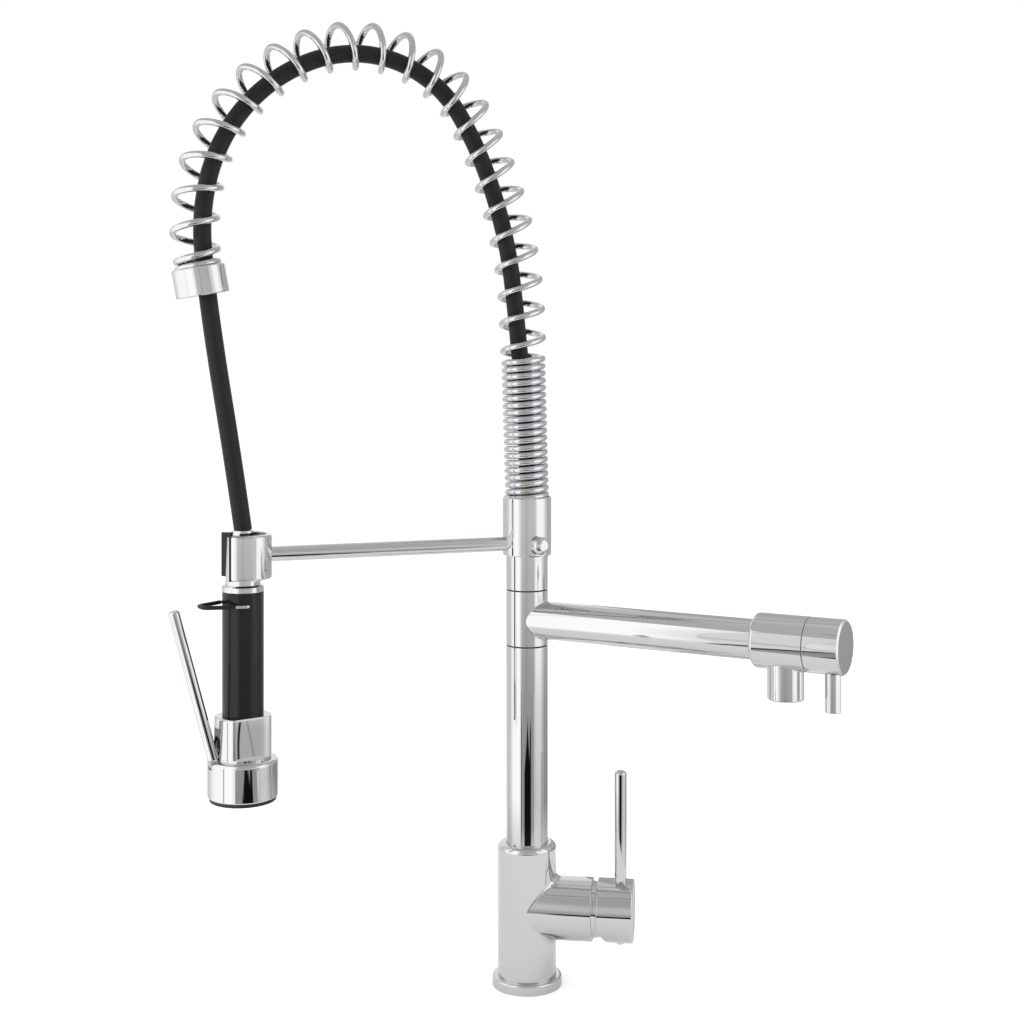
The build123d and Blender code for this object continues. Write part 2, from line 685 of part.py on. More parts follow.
def coil_radius(turns):
    """Radius of the wire's centre; the first half turn tucks in, so its end fits inside the hub."""
    tuck = HUB_TUCK * max(0.0, 1 - 2 * turns)
    return (CLOSED_DIA + openness(turns) * (OPEN_DIA - CLOSED_DIA) - WIRE_DIA) / 2 - tuck


def coil_frame(turns, distance):
    """Point on the wire's centre and its direction."""
    centre, tangent, normal, bend = on_centreline(distance)
    side = tangent.cross(normal)
    radius = coil_radius(turns)
    growth = (coil_radius(turns + 0.01) - coil_radius(turns - 0.01)) / 0.02
    phase = math.radians(START_PHASE) + 2 * math.pi * turns
    outward = normal * math.cos(phase) + side * math.sin(phase)
    around = side * math.cos(phase) - normal * math.sin(phase)
    climb = coil_pitch(turns) * (1 + radius * math.cos(phase) * bend)
    run = tangent * climb + around * (2 * math.pi * radius) + outward * growth
    return centre + outward * radius, run.normalized()


def biarc(start, start_dir, end, end_dir):
    """Two arcs that leave one point and reach another along given directions."""
    chord = end - start
    both = start_dir + end_dir
    spread = 2 * (1 - start_dir.dot(end_dir))
    reach = chord.dot(both)
    arm = (math.sqrt(reach**2 + spread * chord.dot(chord)) - reach) / spread
    first = start + start_dir * arm
    last = end - end_dir * arm
    middle = (first + last) * 0.5
    TangentArc(start, middle, tangent=start_dir)
    TangentArc(middle, end, tangent=(last - first).normalized())


def end_bend(bend_start, axis_dir, wire_dir):
    """Ends of the short straight that follows a bend from the coil to the spring's axis."""
    setback = END_BEND * math.tan(math.radians(axis_dir.get_angle(wire_dir) / 2))
    knee = bend_start + (wire_dir + axis_dir) * setback
    return knee, knee + axis_dir * WIRE_DIA


distance = seat_rise
coil_points = [coil_frame(0, distance)]
for turns in quarter_middles:
    distance += coil_pitch(turns) / 4
    coil_points.append(coil_frame(turns + 0.125, distance))

hub_end_dir = -on_centreline(0)[1]
collar_end_dir = on_centreline(ARCH_LENGTH)[1]
first_point, first_dir = coil_points[0]
last_point, last_dir = coil_points[-1]
hub_knee, hub_foot = end_bend(first_point, hub_end_dir, -first_dir)
collar_knee, collar_foot = end_bend(last_point, collar_end_dir, last_dir)

with BuildPart() as coil_spring:
    with BuildLine() as wire:
        Line(hub_foot, hub_knee)
        TangentArc(hub_knee, first_point, tangent=-hub_end_dir)
        for (start, start_dir), (end, end_dir) in zip(coil_points, coil_points[1:]):
            biarc(start, start_dir, end, end_dir)
        TangentArc(last_point, collar_knee, tangent=last_dir)
        Line(collar_knee, collar_foot)
    with BuildSketch(Plane(origin=hub_foot, z_dir=-hub_end_dir)):
        Circle(WIRE_DIA / 2)
    sweep(path=wire.wires()[0])

spots = np.array([tuple(edge.position_at(share)) for edge in wire.edges() for share in (0.0, 0.34, 0.67)])
walked = np.concatenate([[0], np.cumsum(np.linalg.norm(np.diff(spots, axis=0), axis=1))])
apart = np.linalg.norm(spots[:, None] - spots[None], axis=2)
apart[np.abs(walked[:, None] - walked[None]) < 3 * WIRE_DIA] = np.inf
least_gap = apart.min() - WIRE_DIA
print("spring: turns %.2f, open pitch %.2f, least gap %.2f" % (total_turns, OPEN_PITCH, least_gap))

# ==== hub and arm ====
web_bottom = riser_top + RISER_GAP
connector_foot = web_bottom - CONNECTOR_SINK
clamp = level_axis(SCREW_ANGLE, arm_z)
arm = level_axis(180, arm_z)
spring_seat = Plane(origin=(0, 0, hub_top), z_dir=-hub_end_dir)
groove_depth = (spring_seat.origin - hub_foot).dot(spring_seat.z_dir)
hub_seat_dia = CLOSED_DIA + 2 * SEAT_GAP
hub_r = HUB_DIA / 2
clip_r = CLIP_DIA / 2

with BuildPart() as arm_hub:
    round_bar(column, HUB_DIA, hub_bottom, hub_top)
    chamfer(arm_hub.edges().filter_by(GeomType.CIRCLE), HUB_CHAMFER)
    bore(column, COLUMN_DIA + 2 * RUN, hub_bottom, web_bottom)
    bore(spring_seat, hub_seat_dia, -groove_depth, groove_depth)
    bore(column, riser_bore + 2 * SEAT, web_bottom, hub_top)
    bore(clamp, SCREW_DIA + 2 * RUN, 0, HUB_DIA)
    bore(arm, ARM_SPIGOT_DIA + 2 * SEAT, 0, HUB_DIA)

with BuildPart() as clamp_screw:
    tip_at = COLUMN_DIA / 2 - TIP_GROOVE + FREE
    knurl_start = hub_r + KNURL_GAP
    turned(clamp, [(0, tip_at), (TIP_DIA / 2, tip_at), (TIP_DIA / 2, COLUMN_DIA / 2 + FREE),
                   (SCREW_DIA / 2, COLUMN_DIA / 2 + FREE), (SCREW_DIA / 2, knurl_start), (0, knurl_start)])
    round_bar(clamp, KNURL_DIA, knurl_start, knurl_start + KNURL_HEIGHT)
    fillet(end_edges(clamp_screw, clamp), KNURL_DIA / 2 - KNURL_FLAT_RADIUS)

with BuildPart() as arm_rod:
    round_bar(arm, ARM_DIA, COLUMN_DIA / 2, REACH)
    bore(column, HUB_DIA, hub_bottom, hub_top)
    bore(spray, CLIP_DIA, clip_bottom, clip_bottom + CLIP_HEIGHT)
    round_bar(arm, ARM_SPIGOT_DIA, COLUMN_DIA / 2 + FREE, hub_r + ARM_SPIGOT_LAP)
    round_bar(arm, ARM_SPIGOT_DIA, REACH - clip_r - ARM_SPIGOT_LAP, REACH - CLIP_BORE / 2 - SPIGOT_INSET)

# ==== holder clip: a ring open towards the outside, with a soft liner ====
clip = Plane((-REACH, 0, 0))


def mouth(half_angle):
    """Wedge of the open side, as wide as twice the angle."""
    far = clip_r * 3
    out = far * math.cos(math.radians(half_angle))
    aside = far * math.sin(math.radians(half_angle))
    with BuildSketch(clip.offset(clip_bottom)) as wedge:
        with BuildLine():
            Polyline((0, 0), (-out, aside), (-far, far), (-far, -far), (-out, -aside), close=True)
        make_face()
    return wedge.sketch


with BuildPart() as holder_clip:
    pipe(clip, CLIP_DIA, CLIP_BORE, clip_bottom, clip_top)
    extrude(mouth(CLIP_MOUTH + LIP_SWEEP), amount=CLIP_HEIGHT, mode=Mode.SUBTRACT)
    bore(arm, ARM_SPIGOT_DIA + 2 * SEAT, REACH - CLIP_DIA, REACH)

liner_bottom_r = NECK_DIA / 2 + LINER_GAP
liner_top_r = NECK_TOP_DIA / 2 + LINER_GAP
with BuildPart() as holder_liner:
    liner_r = CLIP_BORE / 2 - SEAT
    turned(clip, [(liner_bottom_r, clip_bottom), (liner_r, clip_bottom),
                  (liner_r, clip_top), (liner_top_r, clip_top)])
    extrude(mouth(CLIP_MOUTH), amount=CLIP_HEIGHT, mode=Mode.SUBTRACT)
    with BuildSketch(clip.offset(clip_bottom)) as lips:
        Circle(clip_r - LIP_INSET)
        Circle(liner_r - LIP_LAP, mode=Mode.SUBTRACT)
    with BuildSketch(clip.offset(clip_bottom)) as lip_sector:
        add(mouth(CLIP_MOUTH + LIP_SWEEP - LIP_INSET))
        add(mouth(CLIP_MOUTH), mode=Mode.SUBTRACT)
    extrude(lips.sketch & lip_sector.sketch, amount=CLIP_HEIGHT)

# ==== spring collar ====
collar = Plane(origin=on_centreline(ARCH_LENGTH)[0], z_dir=collar_end_dir)
with BuildPart() as spring_collar:
    round_bar(collar, COLLAR_DIA, 0, COLLAR_HEIGHT)
    chamfer(spring_collar.edges().filter_by(GeomType.CIRCLE), COLLAR_CHAMFER)
    collar_groove = (collar_foot - collar.origin).dot(collar.z_dir)
    knee_out = collar_knee - collar.origin
    knee_r = (knee_out - collar.z_dir * knee_out.dot(collar.z_dir)).length
    bore(collar, 2 * knee_r + WIRE_DIA + SEAT_GAP, 0, collar_groove)
    bore(collar, COLLAR_BORE, 0, COLLAR_HEIGHT)

# ==== hose and its ends ====
connector_top = hub_top + CONNECTOR_RISE
floor_z = hub_top - groove_depth + CONNECTOR_LIFT
with BuildPart() as hose_connector:
    round_bar(column, riser_bore, connector_foot, floor_z)
    round_bar(column, CONNECTOR_DIA, floor_z, connector_top)
    bore(column, CORE_BORE, connector_foot, connector_top - FERRULE_LIFT)

hose_points = [Vector(0, 0, connector_top), *[Vector(-out, 0, hub_top + up) for out, up in HOSE_ROUTE],
               Vector(-REACH, 0, ferrule_top)]
runs = [(b - a).length for a, b in zip(hose_points, hose_points[1:])]
turns = [(b - a).get_angle(c - b) for a, b, c in zip(hose_points, hose_points[1:], hose_points[2:])]
shorter_runs = [min(pair) for pair in zip(runs, runs[1:])]
hose_radii = [0.45 * run / math.tan(math.radians(turn / 2)) for run, turn in zip(shorter_runs, turns)]

with BuildPart() as spray_hose:
    with BuildLine() as hose_path:
        FilletPolyline(*hose_points, radius=hose_radii)
    with BuildSketch(Plane(origin=hose_points[0], z_dir=hose_points[1] - hose_points[0])):
        Circle(HOSE_DIA / 2)
    sweep(path=hose_path.wires()[0])

hose_length = sum(edge.length for edge in hose_path.edges())
print("hose: length %.1f, radii" % hose_length, [round(radius) for radius in hose_radii])
print("hose: runs", [round(run) for run in runs], "turns", [round(turn, 1) for turn in turns])
print("hose: volume over section times length %.4f"
      % (spray_hose.part.volume / (math.pi * HOSE_DIA**2 / 4 * hose_length)))

with BuildPart() as hose_ferrule:
    spigot_foot = neck_top - FERRULE_SPIGOT_LENGTH
    round_bar(spray, FERRULE_SPIGOT_DIA, spigot_foot, neck_top + FERRULE_LIFT)
    round_bar(spray, FERRULE_DIA, neck_top + FERRULE_LIFT, ferrule_top + FERRULE_RISE)
    split(bisect_by=Plane(origin=hose_points[-1], z_dir=hose_points[-1] - hose_points[-2]), keep=Keep.TOP)
    ferrule_bore = FERRULE_SPIGOT_DIA - 2 * FERRULE_WALL
    bore(spray, ferrule_bore, spigot_foot, neck_top + FERRULE_RISE / 2)

# ==== hand spray ====
ring_r = RING_DIA / 2
neck_spigot_r = GRIP_BORE / 2 - SEAT
neck_foot = grip_top - NECK_SPIGOT
with BuildPart() as spray_neck:
    turned(spray, [(CORE_BORE / 2, neck_foot), (neck_spigot_r, neck_foot), (neck_spigot_r, grip_top),
                   (ring_r, grip_top), (ring_r, ring_top - RING_CHAMFER), (ring_r - RING_CHAMFER, ring_top),
                   (NECK_DIA / 2, ring_top), (NECK_DIA / 2, neck_taper_end), (NECK_TOP_DIA / 2, neck_top),
                   (CORE_BORE / 2, neck_top)])
    bore(spray, FERRULE_SPIGOT_DIA + 2 * RUN, spigot_foot - RISER_GAP, neck_top)

core_foot = block_top - CORE_SINK
with BuildPart() as inner_tube:
    pipe(spray, CORE_DIA, CORE_BORE, core_foot, neck_foot)

bail_z = grip_top - BAIL_DROP
bail_axis = Plane(origin=spray.origin + spray.x_dir * BAIL_OFFSET + Vector(0, 0, bail_z),
                  x_dir=(0, 0, 1), z_dir=spray.y_dir)
with BuildPart() as spray_grip:
    pipe(spray, GRIP_DIA, GRIP_BORE, block_top, grip_top)
    for side in (1, -1):
        bore(bail_axis, BAIL_WIRE + 2 * RUN, side * (BAIL_PRONG - FOOT_GAP), side * GRIP_DIA)

block_r = BLOCK_DIA / 2
plunger_z = bell_top + PLUNGER_RISE
flat_bottom = bell_top + FLAT_RISE
spigot_bottom = bell_top - BLOCK_SPIGOT_LENGTH
plunger_axis = Plane(origin=spray.origin + Vector(0, 0, plunger_z), x_dir=(0, 0, 1), z_dir=spray.x_dir)
pocket_at = block_r - POCKET_DEPTH
plunger_inner = pocket_at - PLUNGER_SINK
with BuildPart() as valve_block:
    round_bar(spray, BLOCK_DIA, bell_top, block_top)
    flat_height = block_top - flat_bottom
    for side in (1, -1):
        with BuildSketch(spray.offset(flat_bottom)):
            with Locations((0, side * (BLOCK_FLATS / 2 + block_r))):
                Rectangle(BLOCK_DIA, 2 * block_r)
        extrude(amount=flat_height, mode=Mode.SUBTRACT)
    fillet(end_edges(valve_block, spray), BLOCK_ROUND)
    round_bar(spray, BLOCK_SPIGOT_DIA, spigot_bottom, bell_top)
    with BuildSketch(plunger_axis.offset(pocket_at)):
        Rectangle(2 * PLUNGER_RISE, POCKET_WIDTH)
    extrude(amount=block_r, mode=Mode.SUBTRACT)
    bore(plunger_axis, PLUNGER_DIA + 2 * RUN, plunger_inner - PLUNGER_ROOM, block_r)
    bore(spray, CORE_DIA + 2 * SEAT, core_foot, block_top)
    bore(spray, BLOCK_BORE, spigot_bottom, block_top)
    back_origin = spray.origin + Vector(0, 0, plunger_z + BACK_SCREW_RISE)
    back = Plane(origin=back_origin, x_dir=(0, 0, 1), z_dir=-spray.x_dir)
    bore(back, BACK_SCREW_DIA + 2 * SEAT, block_r - BACK_SCREW_SINK - 2 * SEAT, block_r)

with BuildPart() as block_screw:
    round_bar(back, BACK_SCREW_DIA, block_r - BACK_SCREW_SINK, block_r + BACK_SCREW_PROUD)
    fillet(end_edges(block_screw, back), BACK_SCREW_ROUND)

bell_r = BELL_DIA / 2
web_z = bell_top - BELL_WEB
slot_inner = PIVOT_OUT - FOOT_WIDTH / 2 - FOOT_SWING
pivot_z = bell_top - PIVOT_DROP
pivot = Plane(origin=spray.origin + spray.x_dir * PIVOT_OUT + Vector(0, 0, pivot_z),
              x_dir=spray.x_dir, z_dir=spray.y_dir)
with BuildPart() as spray_bell:
    round_bar(spray, BELL_DIA, bell_bottom, bell_top)
    fillet(spray_bell.edges().filter_by(GeomType.CIRCLE).sort_by(Axis.Z)[-1], BELL_ROUND)
    chamfer(spray_bell.edges().filter_by(GeomType.CIRCLE).sort_by(Axis.Z)[0], BELL_CHAMFER)
    bore(spray, BELL_DIA - 2 * BELL_WALL, bell_bottom, web_z)
    bore(spray, BLOCK_SPIGOT_DIA + 2 * SEAT, web_z, bell_top)
    foot_bottom = pivot_z - FOOT_WIDTH / 2 - FOOT_CLEARANCE
    with BuildSketch(spray.offset(foot_bottom)):
        with Locations((slot_inner, 0)):
            Rectangle(bell_r, FOOT_THICK + 2 * FOOT_GAP, align=(Align.MIN, Align.CENTER))
    extrude(amount=bell_top - foot_bottom, mode=Mode.SUBTRACT)
    pin_half = LEVER_PIN_LENGTH / 2
    bore(pivot, PIN_DIA + 2 * SEAT, -pin_half - SEAT, pin_half + SEAT)
    with BuildSketch(spray.offset(web_z)):
        with Locations((PIVOT_OUT, 0)):
            Rectangle(PIN_DIA + 2 * SEAT, 2 * (pin_half + SEAT))
    extrude(amount=pivot_z - web_z, mode=Mode.SUBTRACT)

with BuildPart() as lever_pin:
    round_bar(pivot, PIN_DIA, -pin_half, pin_half)

tilt = math.radians(LEVER_TILT)
lever_dir = spray.x_dir * math.sin(tilt) + Vector(0, 0, math.cos(tilt))
lever_axis = Plane(origin=pivot.origin, x_dir=spray.y_dir, z_dir=lever_dir)
with BuildPart() as lever_foot:
    round_bar(pivot, FOOT_WIDTH, -FOOT_THICK / 2, FOOT_THICK / 2)
    with BuildSketch(lever_axis):
        Rectangle(FOOT_THICK, FOOT_WIDTH)
    extrude(amount=LEVER_START)
    round_bar(lever_axis, TENON_DIA, LEVER_START, LEVER_START + TENON_LENGTH)
    bore(pivot, PIN_DIA + 2 * RUN, -FOOT_THICK, FOOT_THICK)

with BuildPart() as trigger_lever:
    round_bar(lever_axis, LEVER_DIA, LEVER_START, LEVER_REACH)
    chamfer(end_edges(trigger_lever, lever_axis), LEVER_CHAMFER)
    bore(lever_axis, TENON_DIA + 2 * SEAT, LEVER_START, LEVER_START + TENON_LENGTH + 2 * SEAT)

plunger_low = plunger_z - PLUNGER_DIA / 2 - pivot_z
lever_face = PIVOT_OUT + plunger_low * math.tan(tilt) - LEVER_DIA / 2 / math.cos(tilt)
with BuildPart() as valve_plunger:
    round_bar(plunger_axis, PLUNGER_DIA, plunger_inner, lever_face - FREE)

bumper_bottom = bell_bottom - BUMPER_DROP
face_bottom = bell_bottom + BUMPER_LIP
lip_dia = BELL_DIA - 2 * BELL_WALL - 2 * SEAT
with BuildPart() as spray_bumper:
    pipe(spray, BUMPER_DIA, BUMPER_BORE, bumper_bottom, bell_bottom)
    pipe(spray, lip_dia, BUMPER_BORE, bell_bottom, face_bottom)
    fillet(spray_bumper.edges().filter_by(GeomType.CIRCLE).group_by(Axis.Z)[0]
           .sort_by(SortBy.RADIUS)[-1], BUMPER_ROUND)

with BuildPart() as spray_face:
    round_bar(spray, lip_dia, face_bottom, face_bottom + FACE_THICK)
    with BuildSketch(spray.offset(face_bottom)):
        for radius, count in zip(NOZZLE_RING_RADII, NOZZLE_COUNTS):
            with PolarLocations(radius, count):
                Circle(NOZZLE_DIA / 2)
    extrude(amount=FACE_THICK, mode=Mode.SUBTRACT)

with BuildPart() as spray_diffuser:
    diffuser_bottom = face_bottom + FACE_THICK + DIFFUSER_RISE
    pipe(spray, lip_dia, lip_dia - 2 * DIFFUSER_RIM, face_bottom + FACE_THICK, diffuser_bottom)
    round_bar(spray, lip_dia, diffuser_bottom, web_z)
    with BuildSketch(spray.offset(diffuser_bottom)):
        with PolarLocations(DIFFUSER_HOLE_RADIUS, DIFFUSER_HOLES):
            Circle(DIFFUSER_HOLE_DIA / 2)
    extrude(amount=web_z - diffuser_bottom, mode=Mode.SUBTRACT)

# ==== lock bail ====
bail_plane = Plane(origin=spray.origin + Vector(0, 0, bail_z), x_dir=spray.x_dir, z_dir=(0, 0, 1))
bail_corners = [(BAIL_OFFSET, -BAIL_PRONG), (BAIL_OFFSET, -BAIL_HALF), (BAIL_REACH, -BAIL_END_HALF),
                (BAIL_REACH, BAIL_END_HALF), (BAIL_OFFSET, BAIL_HALF), (BAIL_OFFSET, BAIL_PRONG)]
with BuildPart() as lock_bail:
    with BuildLine(bail_plane) as bail_path:
        FilletPolyline(*bail_corners, radius=[BAIL_BEND, BAIL_END_BEND, BAIL_END_BEND, BAIL_BEND])
    with BuildSketch(Plane(origin=bail_path.line @ 0, z_dir=bail_path.line % 0)):
        Circle(BAIL_WIRE / 2)
    sweep(path=bail_path.wires()[0])

nodes = {
    "base_flange": base_flange, "deck_gasket": deck_gasket, "mixer_body": mixer_body,
    "mixing_cartridge": mixing_cartridge, "cartridge_nut": cartridge_nut, "cartridge_dome": cartridge_dome,
    "cartridge_rotor": cartridge_rotor, "stem_pin": stem_pin, "lever_stem": lever_stem,
    "handle_cap": handle_cap, "handle_rod": handle_rod, "handle_screw": handle_screw,
    "handle_plug": handle_plug,
    "lower_column": lower_column, "lower_washer": lower_washer, "upper_washer": upper_washer,
    "upper_column": upper_column, "riser_tube": riser_tube, "sleeve_orings": sleeve_orings,
    "riser_nut": riser_nut, "spout_sleeve": spout_sleeve, "spout_tube": spout_tube,
    "spout_valve_body": spout_valve_body, "aerator": aerator, "disc_cartridge": disc_cartridge,
    "valve_spindle": valve_spindle, "valve_knob": valve_knob, "knob_pin": knob_pin,
    "coil_spring": coil_spring, "arm_hub": arm_hub, "clamp_screw": clamp_screw, "arm_rod": arm_rod,
    "holder_clip": holder_clip, "holder_liner": holder_liner, "spring_collar": spring_collar,
    "hose_connector": hose_connector, "spray_hose": spray_hose, "hose_ferrule": hose_ferrule,
    "spray_neck": spray_neck, "inner_tube": inner_tube, "spray_grip": spray_grip, "valve_block": valve_block,
    "block_screw": block_screw, "spray_bell": spray_bell, "lever_pin": lever_pin, "lever_foot": lever_foot,
    "trigger_lever": trigger_lever, "valve_plunger": valve_plunger, "spray_bumper": spray_bumper,
    "spray_face": spray_face, "spray_diffuser": spray_diffuser, "lock_bail": lock_bail,
}
for node, piece in nodes.items():
    piece.part.label = node
    export_step(piece.part, f"parts/{node}.step")
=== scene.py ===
"""Kitchen mixer with a sprung hand spray, dressed over its CAD frame.

Shapes are worked out in millimetres, in the CAD's own frame: the column stands on the origin, +Z is up
and the spray's arm points along -X. Meshes are written in metres.
"""
import json
from collections import namedtuple

import bpy
import numpy as np
from numpy import concatenate, cos, interp, linspace, radians, sin, stack
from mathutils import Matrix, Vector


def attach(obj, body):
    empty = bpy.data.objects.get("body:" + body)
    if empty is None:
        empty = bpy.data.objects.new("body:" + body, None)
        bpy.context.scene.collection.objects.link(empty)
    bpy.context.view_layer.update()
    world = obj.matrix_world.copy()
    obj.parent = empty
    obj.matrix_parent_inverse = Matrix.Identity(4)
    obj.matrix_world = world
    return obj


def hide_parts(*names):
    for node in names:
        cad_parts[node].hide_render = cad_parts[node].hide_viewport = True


scene = bpy.context.scene
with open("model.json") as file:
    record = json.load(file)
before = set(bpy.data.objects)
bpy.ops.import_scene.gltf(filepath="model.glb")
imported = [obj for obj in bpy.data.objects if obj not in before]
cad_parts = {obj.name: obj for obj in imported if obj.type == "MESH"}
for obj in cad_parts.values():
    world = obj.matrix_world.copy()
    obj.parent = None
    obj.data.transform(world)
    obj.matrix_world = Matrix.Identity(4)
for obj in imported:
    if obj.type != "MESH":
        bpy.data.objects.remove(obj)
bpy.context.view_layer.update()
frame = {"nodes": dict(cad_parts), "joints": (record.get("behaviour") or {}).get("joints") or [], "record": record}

MM = 0.001
UP = np.array((0.0, 0.0, 1.0))
SIDEWAYS = np.array((0.0, 1.0, 0.0))

# ---- sizes in millimetres, those of the solids but for the valve block, whose flats are closer here ----
BASE_R, SPIGOT_R, BODY_R, BODY_ROUND, BODY_FILLET = 25.0, 18.0, 21.0, 4.0, 4.2
INLET_SPREAD, INLET_R, STUD_AT, STUD_R = 9.0, 4.5, -11.0, 3.4
BRANCH_R, FLARE_R, FLARE_RUN, MOUTH_R, MOUTH_DEPTH = 22.1, 20.8, 12.0, 20.0, 1.3
DOME_R, DOME_WALL, DOME_OPENING_R = 19.5, 1.6, 15.5
CAP_R, CAP_CAVITY_R, RELIEF_START, RELIEF_RUN = 22.0, 20.1, 8.0, 8.7
ROD_R, ROD_FOOT, PLUG_R = 4.4, 17.0, 2.8
COLUMN_R, COLUMN_BORE_R, WASHER_R = 15.0, 12.08, 14.5
SPOUT_R, SPOUT_BORE_R, SPOUT_FILLET = 13.5, 12.0, 1.2
VALVE_R, VALVE_ROUND, VALVE_BORE_R, VALVE_SEAT_R = 18.2, 3.0, 8.2, 13.05
OUTLET_AT, OUTLET_R, OUTLET_BORE_R, OUTLET_DEPTH, OUTLET_FILLET = 194.6, 12.1, 10.25, 11.2, 0.6
PIN_R, PIN_FROM_END = 5.3, 8.6
HUB_R, HUB_CHAMFER, HUB_SEAT_R, HUB_BORE_R, SEAT_DEPTH, HUB_SHELF = 17.5, 1.0, 16.3, 7.1, 7.15, 335.0
SCREW_R, SCREW_STEM_R, ARM_R = 6.5, 3.0, 5.15
WIRE, CLOSED_DIA, OPEN_DIA = 4.6, 32.0, 34.0
CLOSED_PITCH, CLOSED_TURNS, OPEN_TURNS = 5.15, 18.5, 21.75
START_RAMP, END_RAMP, END_TURNS = 1.0, 0.5, 0.5
HANG_STRETCH, START_PHASE, SEAT_PITCH, SEAT_GAP = 0.065, 92.0, 4.7, 0.15
SPRING_LEAN, POST = 1.7, 125.0
ARCH = [(322.0, 26.5), (92.0, 81.5), (125.0, 55.5), (150.0, 24.8)]
COLLAR_R, COLLAR_SEAT_R, COLLAR_BORE_R, COLLAR_SEAT = 18.0, 17.0, 10.7, 7.2
CLIP_R, CLIP_BORE_R, CLIP_ROUND, CLIP_MOUTH, LIP_SWEEP = 19.5, 15.5, 1.6, 51.0, 4.0
LINER_R, LIP_R, LINER_FOOT_R, LINER_TOP_R = 15.45, 19.3, 12.05, 10.9
HOSE_DIA, STRAND = 12.2, 1.2
CONNECTOR_R, CONNECTOR_HEAD_R, CONNECTOR_BORE_R = 6.95, 7.5, 4.0
RING_LOW, RING_TOP, RING_R, NECK_STEM_R, NECK_BORE_R = 293.3, 297.8, 14.15, 9.75, 4.0
NECK_STRAIGHT, NECK_TOP, NECK_R, NECK_TOP_R = 300.0, 330.0, 11.75, 10.6
FERRULE_R, FERRULE_STEM_R, FERRULE_BORE_R = 7.0, 4.9, 3.5
GRIP_R, GRIP_BORE_R = 14.0, 9.85
BLOCK_R, BLOCK_HALF, BLOCK_ROUND, EDGE_POWER, BLOCK_CORE_INSET = 19.3, 14.2, 1.5, 90, 8.0
PLUNGER_R, BACK_SCREW_R, BACK_SOCKET_R = 2.95, 2.0, 1.1
BELL_LOW, BELL_TOP, BELL_SHELF, BELL_R, BELL_BORE_R, BELL_NECK_R = 155.0, 181.0, 168.0, 23.85, 20.45, 9.05
SLOT_INNER, SLOT_WALL, SLOT_FOOT, SLOT_SILL, SLOT_HALF = 14.6, 23.0, 170.8, 175.4, 2.8
BUMPER_LOW, BUMPER_R, BUMPER_BORE_R, BUMPER_NECK_R = 152.3, 22.5, 18.5, 20.4
LEVER_TILT, LEVER_R, BAIL_R, BAIL_COAT = 15.5, 3.8, 1.4, 0.25

CORE = 0.3    # radius at which an outline is closed to its axis by a flat disc
FIT = 0.05    # a ring's bore stands this far off what goes through it

# ---- colours, sRGB ----
CHROME, WIRE_CHROME, STEEL, BRASS = "D0D1D2", "CECFD1", "A2A3A5", "C9A661"
GRIP_BLACK, MOULDED_BLACK, WORN_BLACK, DUSTY_BLACK = "151516", "151517", "19191B", "1C1C1E"
# the sleeve's grey is painted sheen: light caught by half of its black strands
SLEEVE_BLACK, SLEEVE_SHEEN_GREY = "080809", "2B2B2F"
ACETAL, ACETAL_SHADE, FLOOR_WHITE = "E9E8E3", "E1E0DA", "F8F8F8"

Axis = namedtuple("Axis", "origin along up")

# ==== measuring the frame ====
def read(items, field, width=1, kind=float):
    """A field of all of a mesh's items, one row each."""
    values = np.empty(len(items) * width, kind)
    items.foreach_get(field, values)
    return values.reshape(-1, width) if width > 1 else values


def corners_mm(node):
    """Vertices of a CAD node in millimetres."""
    return read(frame["nodes"][node].data.vertices, "co", 3) / MM


def heading(angle):
    """Level unit vectors at angles in degrees."""
    turn = radians(angle)
    return stack([cos(turn), sin(turn), 0 * turn], axis=-1)


def unit(vectors):
    """Vectors divided by their lengths."""
    return vectors / np.maximum(np.linalg.norm(vectors, axis=-1, keepdims=True), 1e-12)


def span(node, axis):
    """Where a CAD node starts and ends along an axis."""
    along = (corners_mm(node) - axis.origin) @ axis.along
    return along.min(), along.max()


joints = {joint["name"]: joint for joint in frame["joints"]}


def joint_at(name):
    """A joint's point in millimetres."""
    return np.array(joints[name]["pos_m"]) / MM


def joint_line(name):
    """A joint's direction."""
    return np.array(joints[name]["axis"])


FACING = heading(-110)  # from the column towards the camera
handle_dir, spout_dir = joint_line("handle_turn"), -joint_line("valve_turn")
lever_dir, clamp_dir = -joint_line("plunger_push"), joint_line("clamp_screw_turn")
column = Axis(np.zeros(3), UP, FACING)
branch = Axis(joint_at("handle_turn") * UP, handle_dir, UP)
spout = Axis(joint_at("spout_swivel") * UP, spout_dir, UP)
arm = Axis(joint_at("arm_swivel") * UP, -heading(0), UP)
clamp = Axis(arm.origin, clamp_dir, UP)
spray = Axis(joint_at("spray_swivel") * (1, 0, 0), UP, lever_dir)
spray_side = np.cross(UP, lever_dir)
spray_level = np.array([lever_dir, spray_side])

